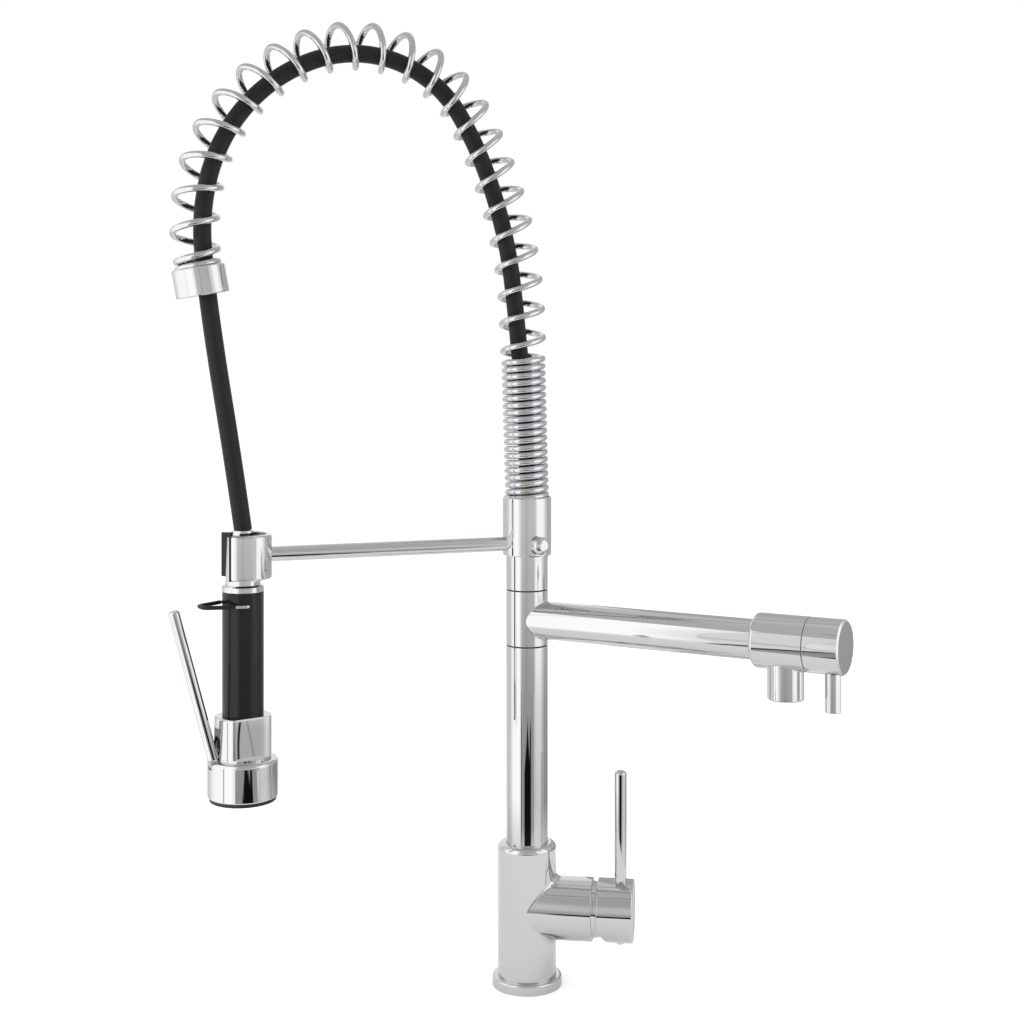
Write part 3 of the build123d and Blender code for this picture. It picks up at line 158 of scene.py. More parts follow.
# ==== profiles and skins ====
def rounded(corners, closed=False, steps=6):
    """Outline through corners (a, b, radius) with an arc at each.

    An arc's centre lies on the bisector, radius / sin(half the angle) away, and its points are the centre
    plus the two touching radii blended by sines of the turn."""
    corners = np.array(corners, float)
    points, radius = corners[:, :2], corners[:, 2:].copy()
    if not closed:
        radius[[0, -1]] = 0
    before = unit(np.roll(points, 1, axis=0) - points)
    after = unit(np.roll(points, -1, axis=0) - points)
    half = 0.5 * np.arccos(np.clip((before * after).sum(1, keepdims=True), -1, 1))
    centre = points + unit(before + after) * radius / sin(half)
    reach = radius / np.tan(half)
    first, last = points + before * reach - centre, points + after * reach - centre
    turn = np.maximum(np.pi - 2 * half, 1e-9)[:, None]
    share = linspace(0, 1, steps + 1)[None, :, None]
    arcs = centre[:, None] + (sin((1 - share) * turn) * first[:, None]
                              + sin(share * turn) * last[:, None]) / sin(turn)
    line = arcs.reshape(-1, 2)
    apart = np.linalg.norm(line - np.roll(line, 1, axis=0), axis=1) > 1e-5
    if not closed:
        apart[0] = True
    return line[apart]


def placed(name, data):
    """Object of a mesh, curve, lamp or camera, in the scene."""
    thing = bpy.data.objects.new(name, data)
    scene.collection.objects.link(thing)
    return thing


def signed_volume(data):
    """Six times the enclosed volume: the sum of the triangles' triple products."""
    data.calc_loop_triangles()
    a, b, c = read(data.vertices, "co", 3)[read(data.loop_triangles, "vertices", 3, int)].transpose(1, 0, 2)
    return (a * np.cross(b, c)).sum()


def mesh_piece(name, points, faces):
    """Piece from points in millimetres and faces, turned outwards."""
    data = bpy.data.meshes.new(name)
    data.from_pydata((points * MM).tolist(), [], faces)
    data.validate()
    if signed_volume(data) < 0:
        data.flip_normals()
    return placed(name, data)


def quads_over(grid, across=True, along=True):
    """Quads between neighbours in a grid of point numbers, closed across its rows, along them or both."""
    if across:
        grid = concatenate([grid, grid[:, :1]], axis=1)
    if along:
        grid = concatenate([grid, grid[:1]])
    return stack([grid[:-1, :-1], grid[:-1, 1:], grid[1:, 1:], grid[1:, :-1]], axis=2).reshape(-1, 4)


def skin(name, rows, solid=True, loop=False):
    """Mesh over a grid of rows. A solid's rows close on themselves, and either its last row on its first
    (loop) or a fan over each end."""
    count, wide = rows.shape[:2]
    index = np.arange(count * wide).reshape(count, wide)
    points, faces = rows.reshape(-1, 3), quads_over(index, solid, loop).tolist()
    if solid and not loop:
        points = concatenate([points, rows[0].mean(0)[None], rows[-1].mean(0)[None]])
        for row, middle, turn in ((index[0], count * wide, -1), (index[-1], count * wide + 1, 1)):
            fan = stack([row, np.roll(row, -1), np.full(wide, middle)], axis=1)
            faces += fan[:, ::turn].tolist()
    return mesh_piece(name, points, faces)


def circle(radius, sides):
    """Points of a circle, radius * (cos t, sin t)."""
    t = linspace(0, 2 * np.pi, sides, endpoint=False)
    return radius * stack([cos(t), sin(t)], axis=1)


def turned(name, axis, outline, closed=False, sides=128):
    """Outline (radius, height) turned round an axis."""
    spokes = circle(1.0, sides) @ np.array([axis.up, np.cross(axis.along, axis.up)])
    return skin(name, axis.origin + outline[:, 1:, None] * axis.along + outline[:, :1, None] * spokes,
                loop=closed)


def lathe(name, axis, corners, ring=False, steps=6, sides=128):
    """Turned piece from corners (radius, height, edge radius), with a flat disc over each end. A solid's
    outline runs in to its axis, and a ring's ends at its bore."""
    if not ring:
        corners = [(CORE, corners[0][1], 0), *corners, (CORE, corners[-1][1], 0)]
    return turned(name, axis, rounded(corners, ring, steps), sides=sides)


def swept(name, path, outward, section):
    """Section (a, b) carried along a path: point + a * outward + b * (tangent x outward), with outward
    made square to the tangent first."""
    tangent = unit(np.gradient(path, axis=0))
    outward = unit(outward - (outward * tangent).sum(1, keepdims=True) * tangent)
    frame_rows = stack([outward, np.cross(tangent, outward)], axis=1)
    return skin(name, path[:, None] + section @ frame_rows)


def box_block(name, centre, axes, halves):
    """Box from its centre, directions and half sizes."""
    signs = np.array([(x, y, z) for z in (-1, 1) for x, y in ((-1, -1), (1, -1), (1, 1), (-1, 1))], float)
    return skin(name, (centre + (signs * halves) @ np.array(axes)).reshape(2, 4, 3))


def carve(piece, *cutters):
    """Cut pieces away from another's mesh."""
    for cutter in cutters:
        cut = piece.modifiers.new("cut", "BOOLEAN")
        cut.operation, cut.solver, cut.object = "DIFFERENCE", "EXACT", cutter
    bpy.context.view_layer.update()
    graph = bpy.context.evaluated_depsgraph_get()
    data = bpy.data.meshes.new_from_object(piece.evaluated_get(graph))
    piece.modifiers.clear()
    piece.data = data
    for cutter in cutters:
        bpy.data.objects.remove(cutter)
    return piece


def finish(piece, body, slot, *nodes, sharp=38.0):
    """Shade a piece smooth up to an angle, with large faces leading its normals, give it its slot's finish,
    and put it on its body in place of its CAD nodes."""
    piece.data.shade_smooth()
    piece.data.set_sharp_from_angle(angle=radians(sharp))
    piece.data.materials.clear()
    piece.data.materials.append(finishes[slot])
    piece.modifiers.new("normals", "WEIGHTED_NORMAL").keep_sharp = True
    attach(piece, body)
    if nodes:
        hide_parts(*nodes)


def turned_part(name, body, node, axis, corners, slot="chrome", sharp=38.0, **form):
    """Turned piece that stands for one CAD node."""
    finish(lathe(name, axis, corners, **form), body, slot, node, sharp=sharp)

# ==== materials ====
def linear(code):
    """Linear colour of an sRGB hex code."""
    srgb = np.array([int(code[i:i + 2], 16) / 255 for i in (0, 2, 4)])
    value = np.where(srgb <= 0.04045, srgb / 12.92, ((srgb + 0.055) / 1.055) ** 2.4)
    return (*value, 1.0)


def add(tree, kind, settings=None, **inputs):
    """Node with its settings, and a value or another socket's link for each input, by name or _number."""
    node = tree.nodes.new(kind)
    for name, value in (settings or {}).items():
        setattr(node, name, value)
    for name, value in inputs.items():
        socket = node.inputs[int(name[1:]) if name[0] == "_" else name]
        if isinstance(value, bpy.types.NodeSocket):
            tree.links.new(value, socket)
        else:
            socket.default_value = value
    return node


def surface(name, colour, metallic, roughness, specular=None):
    """Material with one Principled surface, and that surface's node."""
    material = bpy.data.materials.new(name)
    material.use_nodes = True
    shader = material.node_tree.nodes["Principled BSDF"]
    shader.inputs["Base Color"].default_value = linear(colour)
    shader.inputs["Metallic"].default_value = metallic
    shader.inputs["Roughness"].default_value = roughness
    if specular is not None:
        shader.inputs["Specular IOR Level"].default_value = specular
    return material, shader


def uneven(name, colour, metallic, rough, size, shade=None, grain=None, specular=None):
    """Surface whose roughness drifts between two values with noise of a real size in millimetres. The same
    noise may move the colour towards a near shade, and a finer one may add a grain (size, height, strength)."""
    material, shader = surface(name, colour, metallic, sum(rough) / 2, specular)
    tree = material.node_tree
    place = add(tree, "ShaderNodeTexCoord").outputs["Object"]
    noise = add(tree, "ShaderNodeTexNoise", Vector=place, Scale=1 / (size * MM), Detail=4.0).outputs["Fac"]
    drift = add(tree, "ShaderNodeMapRange", Value=noise, _1=0.3, _2=0.7, _3=rough[0], _4=rough[1])
    tree.links.new(drift.outputs["Result"], shader.inputs["Roughness"])
    if shade:
        blend = add(tree, "ShaderNodeMix", {"data_type": "RGBA"}, _0=noise, _6=linear(colour), _7=linear(shade))
        tree.links.new(blend.outputs[2], shader.inputs["Base Color"])
    if grain:
        fine = add(tree, "ShaderNodeTexNoise", Vector=place, Scale=1 / (grain[0] * MM), Detail=3.0)
        bump = add(tree, "ShaderNodeBump", Height=fine.outputs["Fac"], Distance=grain[1] * MM,
                   Strength=grain[2])
        tree.links.new(bump.outputs["Normal"], shader.inputs["Normal"])
    return material


def woven_sleeve():
    """Nylon yarn braided over rubber: 1.2 mm strands cross at 45 degrees, twice as coarse as the real weave
    so that they show."""
    material, shader = surface("braided_nylon_sleeve", SLEEVE_BLACK, 0.0, 0.45, specular=0.22)
    tree = material.node_tree
    place = add(tree, "ShaderNodeUVMap", {"uv_map": "sleeve"}).outputs["UV"]
    # the checker's grey squares are painted sheen on strands that are black all over
    strands = add(tree, "ShaderNodeTexChecker", Vector=place, Color1=linear(SLEEVE_BLACK),
                  Color2=linear(SLEEVE_SHEEN_GREY), Scale=1.0)
    tree.links.new(strands.outputs["Color"], shader.inputs["Base Color"])
    weave = add(tree, "ShaderNodeTexVoronoi", {"distance": "CHEBYCHEV"}, Vector=place, Scale=1.0,
                Randomness=0.0)
    bump = add(tree, "ShaderNodeBump", {"invert": True}, Height=weave.outputs["Distance"],
               Distance=0.25 * MM, Strength=0.6)
    tree.links.new(bump.outputs["Normal"], shader.inputs["Normal"])
    return material


finishes = {
    # Brass polished and chrome plated: a mirror, a little softer where a cloth has wiped it.
    "chrome": uneven("polished_chrome_plate", CHROME, 1.0, (0.012, 0.035), 14.0),
    # Drawn spring wire, polished and plated: a mirror with the faint unevenness of drawing.
    "spring_steel": uneven("plated_spring_wire", WIRE_CHROME, 1.0, (0.025, 0.06), 3.0),
    # Black moulded rubber: dull, with a faint dusty bloom.
    "black_rubber": uneven("moulded_black_rubber", MOULDED_BLACK, 0.0, (0.45, 0.6), 5.0, DUSTY_BLACK,
                           (0.6, 0.03, 0.3)),
    # Glass-filled ABS moulded in a finely eroded tool: satin black, its 0.15 mm grain drawn at 0.4 mm to show.
    "grip_plastic": uneven("moulded_satin_grip", GRIP_BLACK, 0.0, (0.13, 0.19), 9.0, WORN_BLACK,
                           (0.4, 0.01, 0.12), specular=0.3),
    # Black acetal for washers and linings: duller than the grip.
    "black_plastic": uneven("moulded_black_acetal", MOULDED_BLACK, 0.0, (0.36, 0.46), 6.0, WORN_BLACK,
                            (0.5, 0.02, 0.2), specular=0.3),
    "hose_braid": woven_sleeve(),
    # Moulded acetal: milky white, faintly uneven.
    "white_plastic": uneven("moulded_white_acetal", ACETAL, 0.0, (0.3, 0.42), 5.0, ACETAL_SHADE),
    # Machined steel, unplated: fine tool marks.
    "steel": uneven("machined_steel", STEEL, 1.0, (0.26, 0.4), 3.0, grain=(0.25, 0.01, 0.3)),
    # Brass from the lathe: tool marks 0.3 mm apart.
    "brass": uneven("turned_brass", BRASS, 1.0, (0.22, 0.36), 4.0, grain=(0.3, 0.01, 0.3)),
}
for subpart in frame["record"]["subparts"]:
    plain = frame["nodes"][subpart["node"]].data.materials
    plain.clear()
    plain.append(finishes[subpart["material_slot"]])

# ==== camera ====
CAMERA_TURN, CAMERA_BACK, CAMERA_LEFT, CAMERA_HEIGHT = -20, 1126.0, 10.8, 451.0
lens = bpy.data.cameras.new("camera")
lens.lens, lens.sensor_width, lens.shift_y = 54.84, 36.0, -0.1504
camera = placed("camera", lens)
camera_place = FACING * CAMERA_BACK - heading(CAMERA_TURN) * CAMERA_LEFT + UP * CAMERA_HEIGHT
camera.location = (camera_place * MM).tolist()
camera.rotation_euler = (radians(90), 0.0, radians(CAMERA_TURN))
scene.camera = camera
scene.view_settings.view_transform = "Standard"

# ==== hose ====
# route of the hose in metres: out of its connector, round inside the spring and down into the spray
HOSE_ROUTE = [
    (0.0, 0.3664), (0.0, 0.4025), (-0.0048, 0.4445), (-0.0088, 0.486), (-0.014, 0.527), (-0.0245, 0.567),
    (-0.04, 0.6055), (-0.0615, 0.64), (-0.096, 0.6605), (-0.136, 0.6635), (-0.174, 0.649), (-0.205, 0.6225),
    (-0.2255, 0.5875), (-0.2335, 0.5475), (-0.2313, 0.511), (-0.224, 0.456), (-0.2116, 0.38), (-0.2052, 0.3345),
]
HOSE_SIDES = 48
route = bpy.data.curves.new("hose_route", "CURVE")
route.dimensions, route.resolution_u = "3D", 24
line = route.splines.new("NURBS")
line.points.add(len(HOSE_ROUTE) - 1)
line.points.foreach_set("co", np.array([(x, 0.0, z, 1.0) for x, z in HOSE_ROUTE]).ravel())
line.order_u, line.use_endpoint_u = 3, True
route_object = placed("hose_route", route)
bpy.context.view_layer.update()
traced = bpy.data.meshes.new_from_object(route_object.evaluated_get(bpy.context.evaluated_depsgraph_get()))
hose_path = read(traced.vertices, "co", 3)
bpy.data.objects.remove(route_object)


def walked_along(path):
    """Distance along a path to each of its points."""
    return concatenate([[0], np.cumsum(np.linalg.norm(np.diff(path, axis=0), axis=1))])


def sleeve_map(piece, path, sides):
    """UV of a tube in strands, turned 45 degrees: (round + along, round - along)."""
    strands_round = np.round(np.pi * HOSE_DIA / STRAND)
    loops = read(piece.data.loops, "vertex_index", kind=int)
    row, spoke = np.minimum(loops // sides, len(path) - 1), (loops % sides).astype(float)
    size = read(piece.data.polygons, "loop_total", kind=int)
    start = np.repeat(np.cumsum(size) - size, size)
    spoke = np.where(spoke < spoke[start] - sides / 2, spoke + sides, spoke)
    spoke = np.where(spoke > spoke[start] + sides / 2, spoke - sides, spoke)
    u, v = spoke / sides * strands_round, walked_along(path)[row] / MM / STRAND
    layer = piece.data.uv_layers.new(name="sleeve")
    layer.data.foreach_set("uv", stack([u + v, u - v], axis=1).ravel())


hose = swept("braided_hose", hose_path / MM, SIDEWAYS, circle(HOSE_DIA / 2, HOSE_SIDES))
sleeve_map(hose, hose_path, HOSE_SIDES)
finish(hose, "arm", "hose_braid", "spray_hose")

# ==== branching tubes ====
def branch_root(main_r, tube, line, fillet, rows=12, sides=160):
    """Rows of a tube that leaves a cylinder at right angles, with a hollow fillet where they meet.

    tube.up is the cylinder's own direction, and line gives (distance out, radius) of the tube's outline.
    Round the tube by t, it meets the cylinder where distance = sqrt(main_r^2 - (radius sin t)^2). The
    set-back each side is fillet * tan(half the angle between the normals), and the skirt is the curve
    (1-q)^2 * tube point + 2q(1-q) * meeting point + q^2 * cylinder point. Two more rows run on under the
    cylinder's surface."""
    t = linspace(0, 2 * np.pi, sides, endpoint=False)
    line = np.array(line, float)

    def on_tube(distance):
        """Points (along, up, side) of the tube's surface."""
        radius = interp(distance, line[:, 0], line[:, 1])
        return stack([distance, radius * cos(t), radius * sin(t)], axis=1)

    low, high = np.zeros(sides), np.full(sides, main_r)
    for _ in range(40):
        middle = (low + high) / 2
        inside = main_r ** 2 - on_tube(middle)[:, 2] ** 2 > middle ** 2
        low, high = np.where(inside, middle, low), np.where(inside, high, middle)
    meet = on_tube(low)
    main_normal = unit(meet * (1, 0, 1))
    tube_normal = unit(meet * (0, 1, 1))
    lean = np.arccos(np.clip((main_normal * tube_normal).sum(1), -1, 1))
    setback = (fillet * np.tan(lean / 2))[:, None]
    away = unit(np.cross(np.roll(meet, -1, 0) - np.roll(meet, 1, 0), main_normal))
    away *= np.sign((away * tube_normal).sum(1, keepdims=True))

    def on_main(distance):
        """Point of the cylinder that far from the meeting line."""
        point = meet + away * distance
        return unit(point * (1, 0, 1)) * main_r + point * (0, 1, 0)

    q = linspace(0, 1, rows + 1)[:, None, None]
    skirt = (1 - q) ** 2 * on_tube(low + setback[:, 0]) + 2 * q * (1 - q) * meet + q ** 2 * on_main(setback)
    run_on, sink, inner = 0.6, (0.985, 1, 0.985), (0.6, 0.9, 0.6)
    under = stack([skirt[-1] * inner, on_main(setback + run_on) * sink])
    outer = line[line[:, 0] > main_r + fillet]
    ring = stack([np.repeat(outer[:, :1], sides, 1), outer[:, 1:] * cos(t),
                  outer[:, 1:] * sin(t)], axis=2)
    axes = np.array([tube.along, tube.up, np.cross(tube.along, tube.up)])
    return tube.origin + concatenate([under, skirt[::-1], ring]) @ axes

# ==== base and mixer body ====
flange_low, flange_high = span("base_flange", column)
turned_part("base_flange_ring", "base", "base_flange", column, [
    (SPIGOT_R + FIT, flange_low, 0.2), (BASE_R, flange_low, 0.3), (BASE_R, flange_high, 1.8),
    (SPIGOT_R + FIT, flange_high, 0.2)], ring=True)

body_foot, body_top, rim_depth = 0.2, span("mixer_body", column)[1], 5.0
body_shell = lathe("mixer_body_shell", column, [
    (SPIGOT_R, body_foot, 0.4), (SPIGOT_R, flange_high, 0), (BODY_R, flange_high, 0.25),
    (BODY_R, body_top, BODY_ROUND), (COLUMN_R + FIT, body_top, 0.3), (COLUMN_R + FIT, body_top - rim_depth, 0)],
    steps=10, sides=160)
inlets = [handle_dir * 2 + np.cross(UP, handle_dir) * INLET_SPREAD * side for side in (1, -1)]
carve(body_shell, *(
    turned("hole", Axis(point, UP, heading(0)), np.array([(size, -1.0), (size, 12.0)]), sides=48)
    for point, size in ((inlets[0], INLET_R), (inlets[1], INLET_R), (handle_dir * STUD_AT, STUD_R))))
finish(body_shell, "base", "chrome", "mixer_body")

branch_mouth = span("mixer_body", branch)[1]
mouth_foot = branch_mouth - MOUTH_DEPTH
mouth_line = rounded([(branch_mouth - 20, BRANCH_R, 0), (branch_mouth, BRANCH_R, 0.5),
                      (branch_mouth, MOUTH_R, 0.3), (mouth_foot, MOUTH_R, 0), (mouth_foot, 2.0, 0)])
branch_rows = branch_root(BODY_R, branch, [(0, FLARE_R), (FLARE_RUN, BRANCH_R), *mouth_line], BODY_FILLET)
finish(skin("mixer_branch_shell", branch_rows), "base", "chrome", "mixer_body")

dome_sweep = linspace(0, np.arccos(DOME_OPENING_R / DOME_R), 30)
dome_arc = stack([cos(dome_sweep), sin(dome_sweep)], axis=1)
dome_low, dome_bore_r = branch_mouth - 1.25, DOME_R - DOME_WALL
dome_foot = [(dome_bore_r, dome_low), (MOUTH_R - FIT, dome_low), (MOUTH_R - FIT, branch_mouth - 0.4),
             (DOME_R, branch_mouth - 0.1)]
dome_line = concatenate([dome_foot, (0, branch_mouth) + DOME_R * dome_arc,
                         (0, branch_mouth) + dome_bore_r * dome_arc[::-1]])
dome = turned("cartridge_ball_cover", branch, dome_line, closed=True)
finish(dome, "base", "chrome", "cartridge_dome")

# ==== handle ====
cap_start, cap_end = span("handle_cap", branch)
bowl = linspace(0, np.arccos((cap_start - branch_mouth) / CAP_CAVITY_R), 24)
bowl_line = (0, branch_mouth) + CAP_CAVITY_R * stack([sin(bowl), cos(bowl)], axis=1)
cap_line = rounded([(CAP_CAVITY_R - 0.3, cap_start, 0), (CAP_R, cap_start, 0.6), (CAP_R, cap_end, 1.0),
                    (CORE, cap_end, 0)], steps=8)
cap = turned("handle_cap_shell", branch, concatenate([bowl_line, cap_line]), sides=160)
slope = (CAP_R - RELIEF_START) / RELIEF_RUN
wedge_near, wedge_far, wedge_half = cap_start - 5, 30.0, 30.0
wedge_low = -RELIEF_START - wedge_far * slope
wedge_points = ((wedge_near, -RELIEF_START + 5 * slope), (cap_start + wedge_far, wedge_low),
                (wedge_near, wedge_low))
wedge_rows = np.array([branch.origin + handle_dir * a + UP * b + np.cross(UP, handle_dir) * c
                       for c in (-wedge_half, wedge_half) for a, b in wedge_points]).reshape(2, 3, 3)
carve(cap, skin("relief", wedge_rows))
finish(cap, "handle", "chrome", "handle_cap")

rod_top = span("handle_rod", column)[1]
rod_axis = Axis(handle_dir * ((corners_mm("handle_rod") @ handle_dir).max() - ROD_R), UP, FACING)
turned_part("handle_rod_bar", "handle", "handle_rod", rod_axis, [
    (ROD_R, branch.origin[2] + ROD_FOOT, 0), (ROD_R, rod_top, 2.2)], steps=10, sides=64)
plug_low, plug_high = span("handle_plug", column)
turned_part("handle_plug_button", "handle", "handle_plug", rod_axis, [
    (PLUG_R, plug_high, 0), (PLUG_R, plug_low - 1, 0.8)], sides=48)

# ==== column: straight shells between the CAD nodes' ends, the washers a little clear of them ====
COLUMN_SHELL, WASHER = (COLUMN_R, 0.3, 0.0, "chrome"), (WASHER_R, 0.15, 0.03, "black_plastic")
for name, node, body, (outer, edge, clear, slot) in (
        ("lower_column_shell", "lower_column", "base", COLUMN_SHELL),
        ("upper_column_shell", "upper_column", "base", COLUMN_SHELL),
        ("spout_sleeve_shell", "spout_sleeve", "spout", COLUMN_SHELL),
        ("lower_swivel_washer", "lower_washer", "base", WASHER),
        ("upper_swivel_washer", "upper_washer", "base", WASHER)):
    low, high = span(node, column)
    low, high = low + clear, high - clear
    turned_part(name, body, node, column, [
        (COLUMN_BORE_R, low, 0.1), (outer, low, edge), (outer, high, edge), (COLUMN_BORE_R, high, 0.1)],
        slot=slot, ring=True, sides=160)

# ==== spout ====
tube_end, tube_bore_start = span("spout_tube", spout)[1], 60.0
tube_line = [(0, SPOUT_R), (tube_end, SPOUT_R), (tube_end, SPOUT_BORE_R), (tube_bore_start, SPOUT_BORE_R)]
tube_rows = branch_root(COLUMN_R, spout, tube_line, SPOUT_FILLET, sides=128)
finish(skin("spout_tube_shell", tube_rows), "spout", "chrome", "spout_tube")

valve_start, valve_end = span("spout_valve_body", spout)
tube_stop, spindle_floor = valve_start + 10, valve_end - 12
turned_part("spout_valve_shell", "spout", "spout_valve_body", spout, [
    (VALVE_BORE_R, tube_stop, 0), (SPOUT_R + FIT, tube_stop, 0), (SPOUT_R + FIT, valve_start, 0.2),
    (VALVE_R, valve_start, VALVE_ROUND), (VALVE_R, valve_end, 0.3), (VALVE_SEAT_R, valve_end, 0.2),
    (VALVE_SEAT_R, spindle_floor, 0), (VALVE_BORE_R, spindle_floor, 0)], ring=True, steps=10)
outlet = Axis(spout.origin + spout_dir * OUTLET_AT, -UP, spout_dir)
outlet_drop = spout.origin[2] - span("spout_valve_body", column)[0]
aerator_shelf = outlet_drop - OUTLET_DEPTH
outlet_line = rounded([(0, OUTLET_R, 0), (outlet_drop, OUTLET_R, 1.5), (outlet_drop, OUTLET_BORE_R, 0.3),
                       (aerator_shelf, OUTLET_BORE_R, 0), (aerator_shelf, 6.0, 0)], steps=8)
outlet_rows = branch_root(VALVE_R, outlet, outlet_line, OUTLET_FILLET, sides=128)
finish(skin("spout_outlet_shell", outlet_rows), "spout", "chrome", "spout_valve_body")

knob_start, knob_end = span("valve_knob", spout)
knob_bevel = 1.2
turned_part("valve_knob_shell", "knob", "valve_knob", spout, [
    (VALVE_R, knob_start, 0.3), (VALVE_R, knob_end - knob_bevel, 0.25),
    (VALVE_R - knob_bevel, knob_end, 0.25)], steps=5, sharp=30)
pin_axis = Axis(spout_dir * (knob_end - PIN_FROM_END), UP, FACING)
pin_low, pin_root = span("knob_pin", column)[0], spout.origin[2] - VALVE_R + 4
turned_part("knob_pin_bar", "knob", "knob_pin", pin_axis, [
    (PIN_R, pin_root, 0), (PIN_R, pin_low, 0.8)], steps=8, sides=72)

# ==== hub, clamp screw and arm ====
hub_low, hub_top = span("arm_hub", column)
hub_bore_r, seat_floor = COLUMN_R + 0.08, hub_top - SEAT_DEPTH
turned_part("arm_hub_shell", "arm", "arm_hub", column, [
    (hub_bore_r, hub_low, 0.1), (HUB_R - HUB_CHAMFER, hub_low, 0.2), (HUB_R, hub_low + HUB_CHAMFER, 0.2),
    (HUB_R, hub_top - HUB_CHAMFER, 0.2), (HUB_R - HUB_CHAMFER, hub_top, 0.1), (HUB_SEAT_R, hub_top, 0.1),
    (HUB_SEAT_R, seat_floor, 0), (HUB_BORE_R, seat_floor, 0), (HUB_BORE_R, HUB_SHELF, 0),
    (hub_bore_r, HUB_SHELF, 0)], ring=True, steps=5, sides=160, sharp=30)

screw_head, screw_high = HUB_R + 0.7, span("clamp_screw", clamp)[1]
turned_part("clamp_screw_button", "clamp", "clamp_screw", clamp, [
    (SCREW_STEM_R, HUB_R - 3, 0), (SCREW_STEM_R, screw_head, 0), (SCREW_R, screw_head, 0.4),
    (SCREW_R, screw_high, 4.3)], steps=14, sides=72)

rod_sunk, reach = 1.5, -spray.origin[0]  # the rod's ends are sunk in the hub and in the clip
turned_part("arm_bar", "arm", "arm_rod", arm, [
    (ARM_R, HUB_R - rod_sunk, 0), (ARM_R, reach - CLIP_R + rod_sunk, 0)], sides=72)

# ==== holder clip and its lining ====
clip_low, clip_top = span("holder_clip", spray)


def ring_rows(outline, angles, inset=0.0):
    """Outline (radius, height) carried round the spray's axis, each row drawn in by an inset."""
    middle, half = (outline.max(0) + outline.min(0)) / 2, (outline.max(0) - outline.min(0)) / 2
    shape = middle + (outline - middle) * (1 - np.reshape(inset, (-1, 1, 1)) / half)
    return spray.origin + shape[..., :1] * heading(angles)[:, None] + shape[..., 1:] * UP


clip_edge = CLIP_ROUND * 0.4
clip_outline = rounded([(CLIP_BORE_R, clip_low, clip_edge), (CLIP_R, clip_low, CLIP_ROUND),
                        (CLIP_R, clip_top, CLIP_ROUND), (CLIP_BORE_R, clip_top, clip_edge)],
                       closed=True, steps=8)
end_q, end_round, clip_steps = radians(linspace(0, 90, 7)), 0.8, 150
end_turn, end_inset = np.degrees(end_round / CLIP_R) * (1 - cos(end_q)), end_round * (1 - sin(end_q))
lip_end = CLIP_MOUTH + LIP_SWEEP
clip_angles = concatenate([180 + lip_end + end_turn, linspace(183 + lip_end, 537 - lip_end, clip_steps),
                           540 - lip_end - end_turn[::-1]])
clip_inset = concatenate([end_inset, np.zeros(clip_steps), end_inset[::-1]])
clip_rows = ring_rows(clip_outline, clip_angles, clip_inset)
finish(skin("holder_clip_ring", clip_rows), "arm", "chrome", "holder_clip")


def liner_outline(outer):
    """Lining's section: its bore narrows upward with the spray's neck."""
    return rounded([(LINER_FOOT_R, clip_low, 0.5), (outer, clip_low, 0.3), (outer, clip_top, 0.3),
                    (LINER_TOP_R, clip_top, 0.5)], closed=True, steps=4)


lip_end -= 0.2  # the lining's lips stop short of the clip
liner_angles = concatenate([[180 + CLIP_MOUTH, 180 + lip_end], linspace(180 + lip_end, 540 - lip_end, 120),
                            [540 - lip_end, 540 - CLIP_MOUTH]])
lip_rows, liner_rows = (ring_rows(liner_outline(outer), liner_angles) for outer in (LIP_R, LINER_R))
liner_rows[:2], liner_rows[-2:] = lip_rows[:2], lip_rows[-2:]
finish(skin("holder_lining", liner_rows), "arm", "black_plastic", "holder_liner", sharp=30)

# ==== coil spring ====
ARCH_LENGTH = POST + sum(radius * radians(turn) for radius, turn in ARCH)


def spring_line(distance):
    """Centre, tangent and outward normal of the spring's middle line at distances from the hub: a straight
    post, then arcs, each of which moves the place by radius * (cos a - cos b, sin b - sin a)."""
    lean = radians(SPRING_LEAN)
    walked = np.clip(distance, None, POST)
    out, up = walked * sin(lean), hub_top + walked * cos(lean)
    angle, start = np.full(len(distance), lean), POST
    for radius, turn in ARCH:
        length = radius * radians(turn)
        part = np.clip(distance - start, 0, length) / radius
        out = out + radius * (cos(lean) - cos(lean + part))
        up = up + radius * (sin(lean + part) - sin(lean))
        angle = angle + part
        lean, start = lean + radians(turn), start + length
    level = np.zeros(len(distance))
    return (stack([-out, level, up], axis=1), stack([-sin(angle), level, cos(angle)], axis=1),
            stack([cos(angle), level, sin(angle)], axis=1))


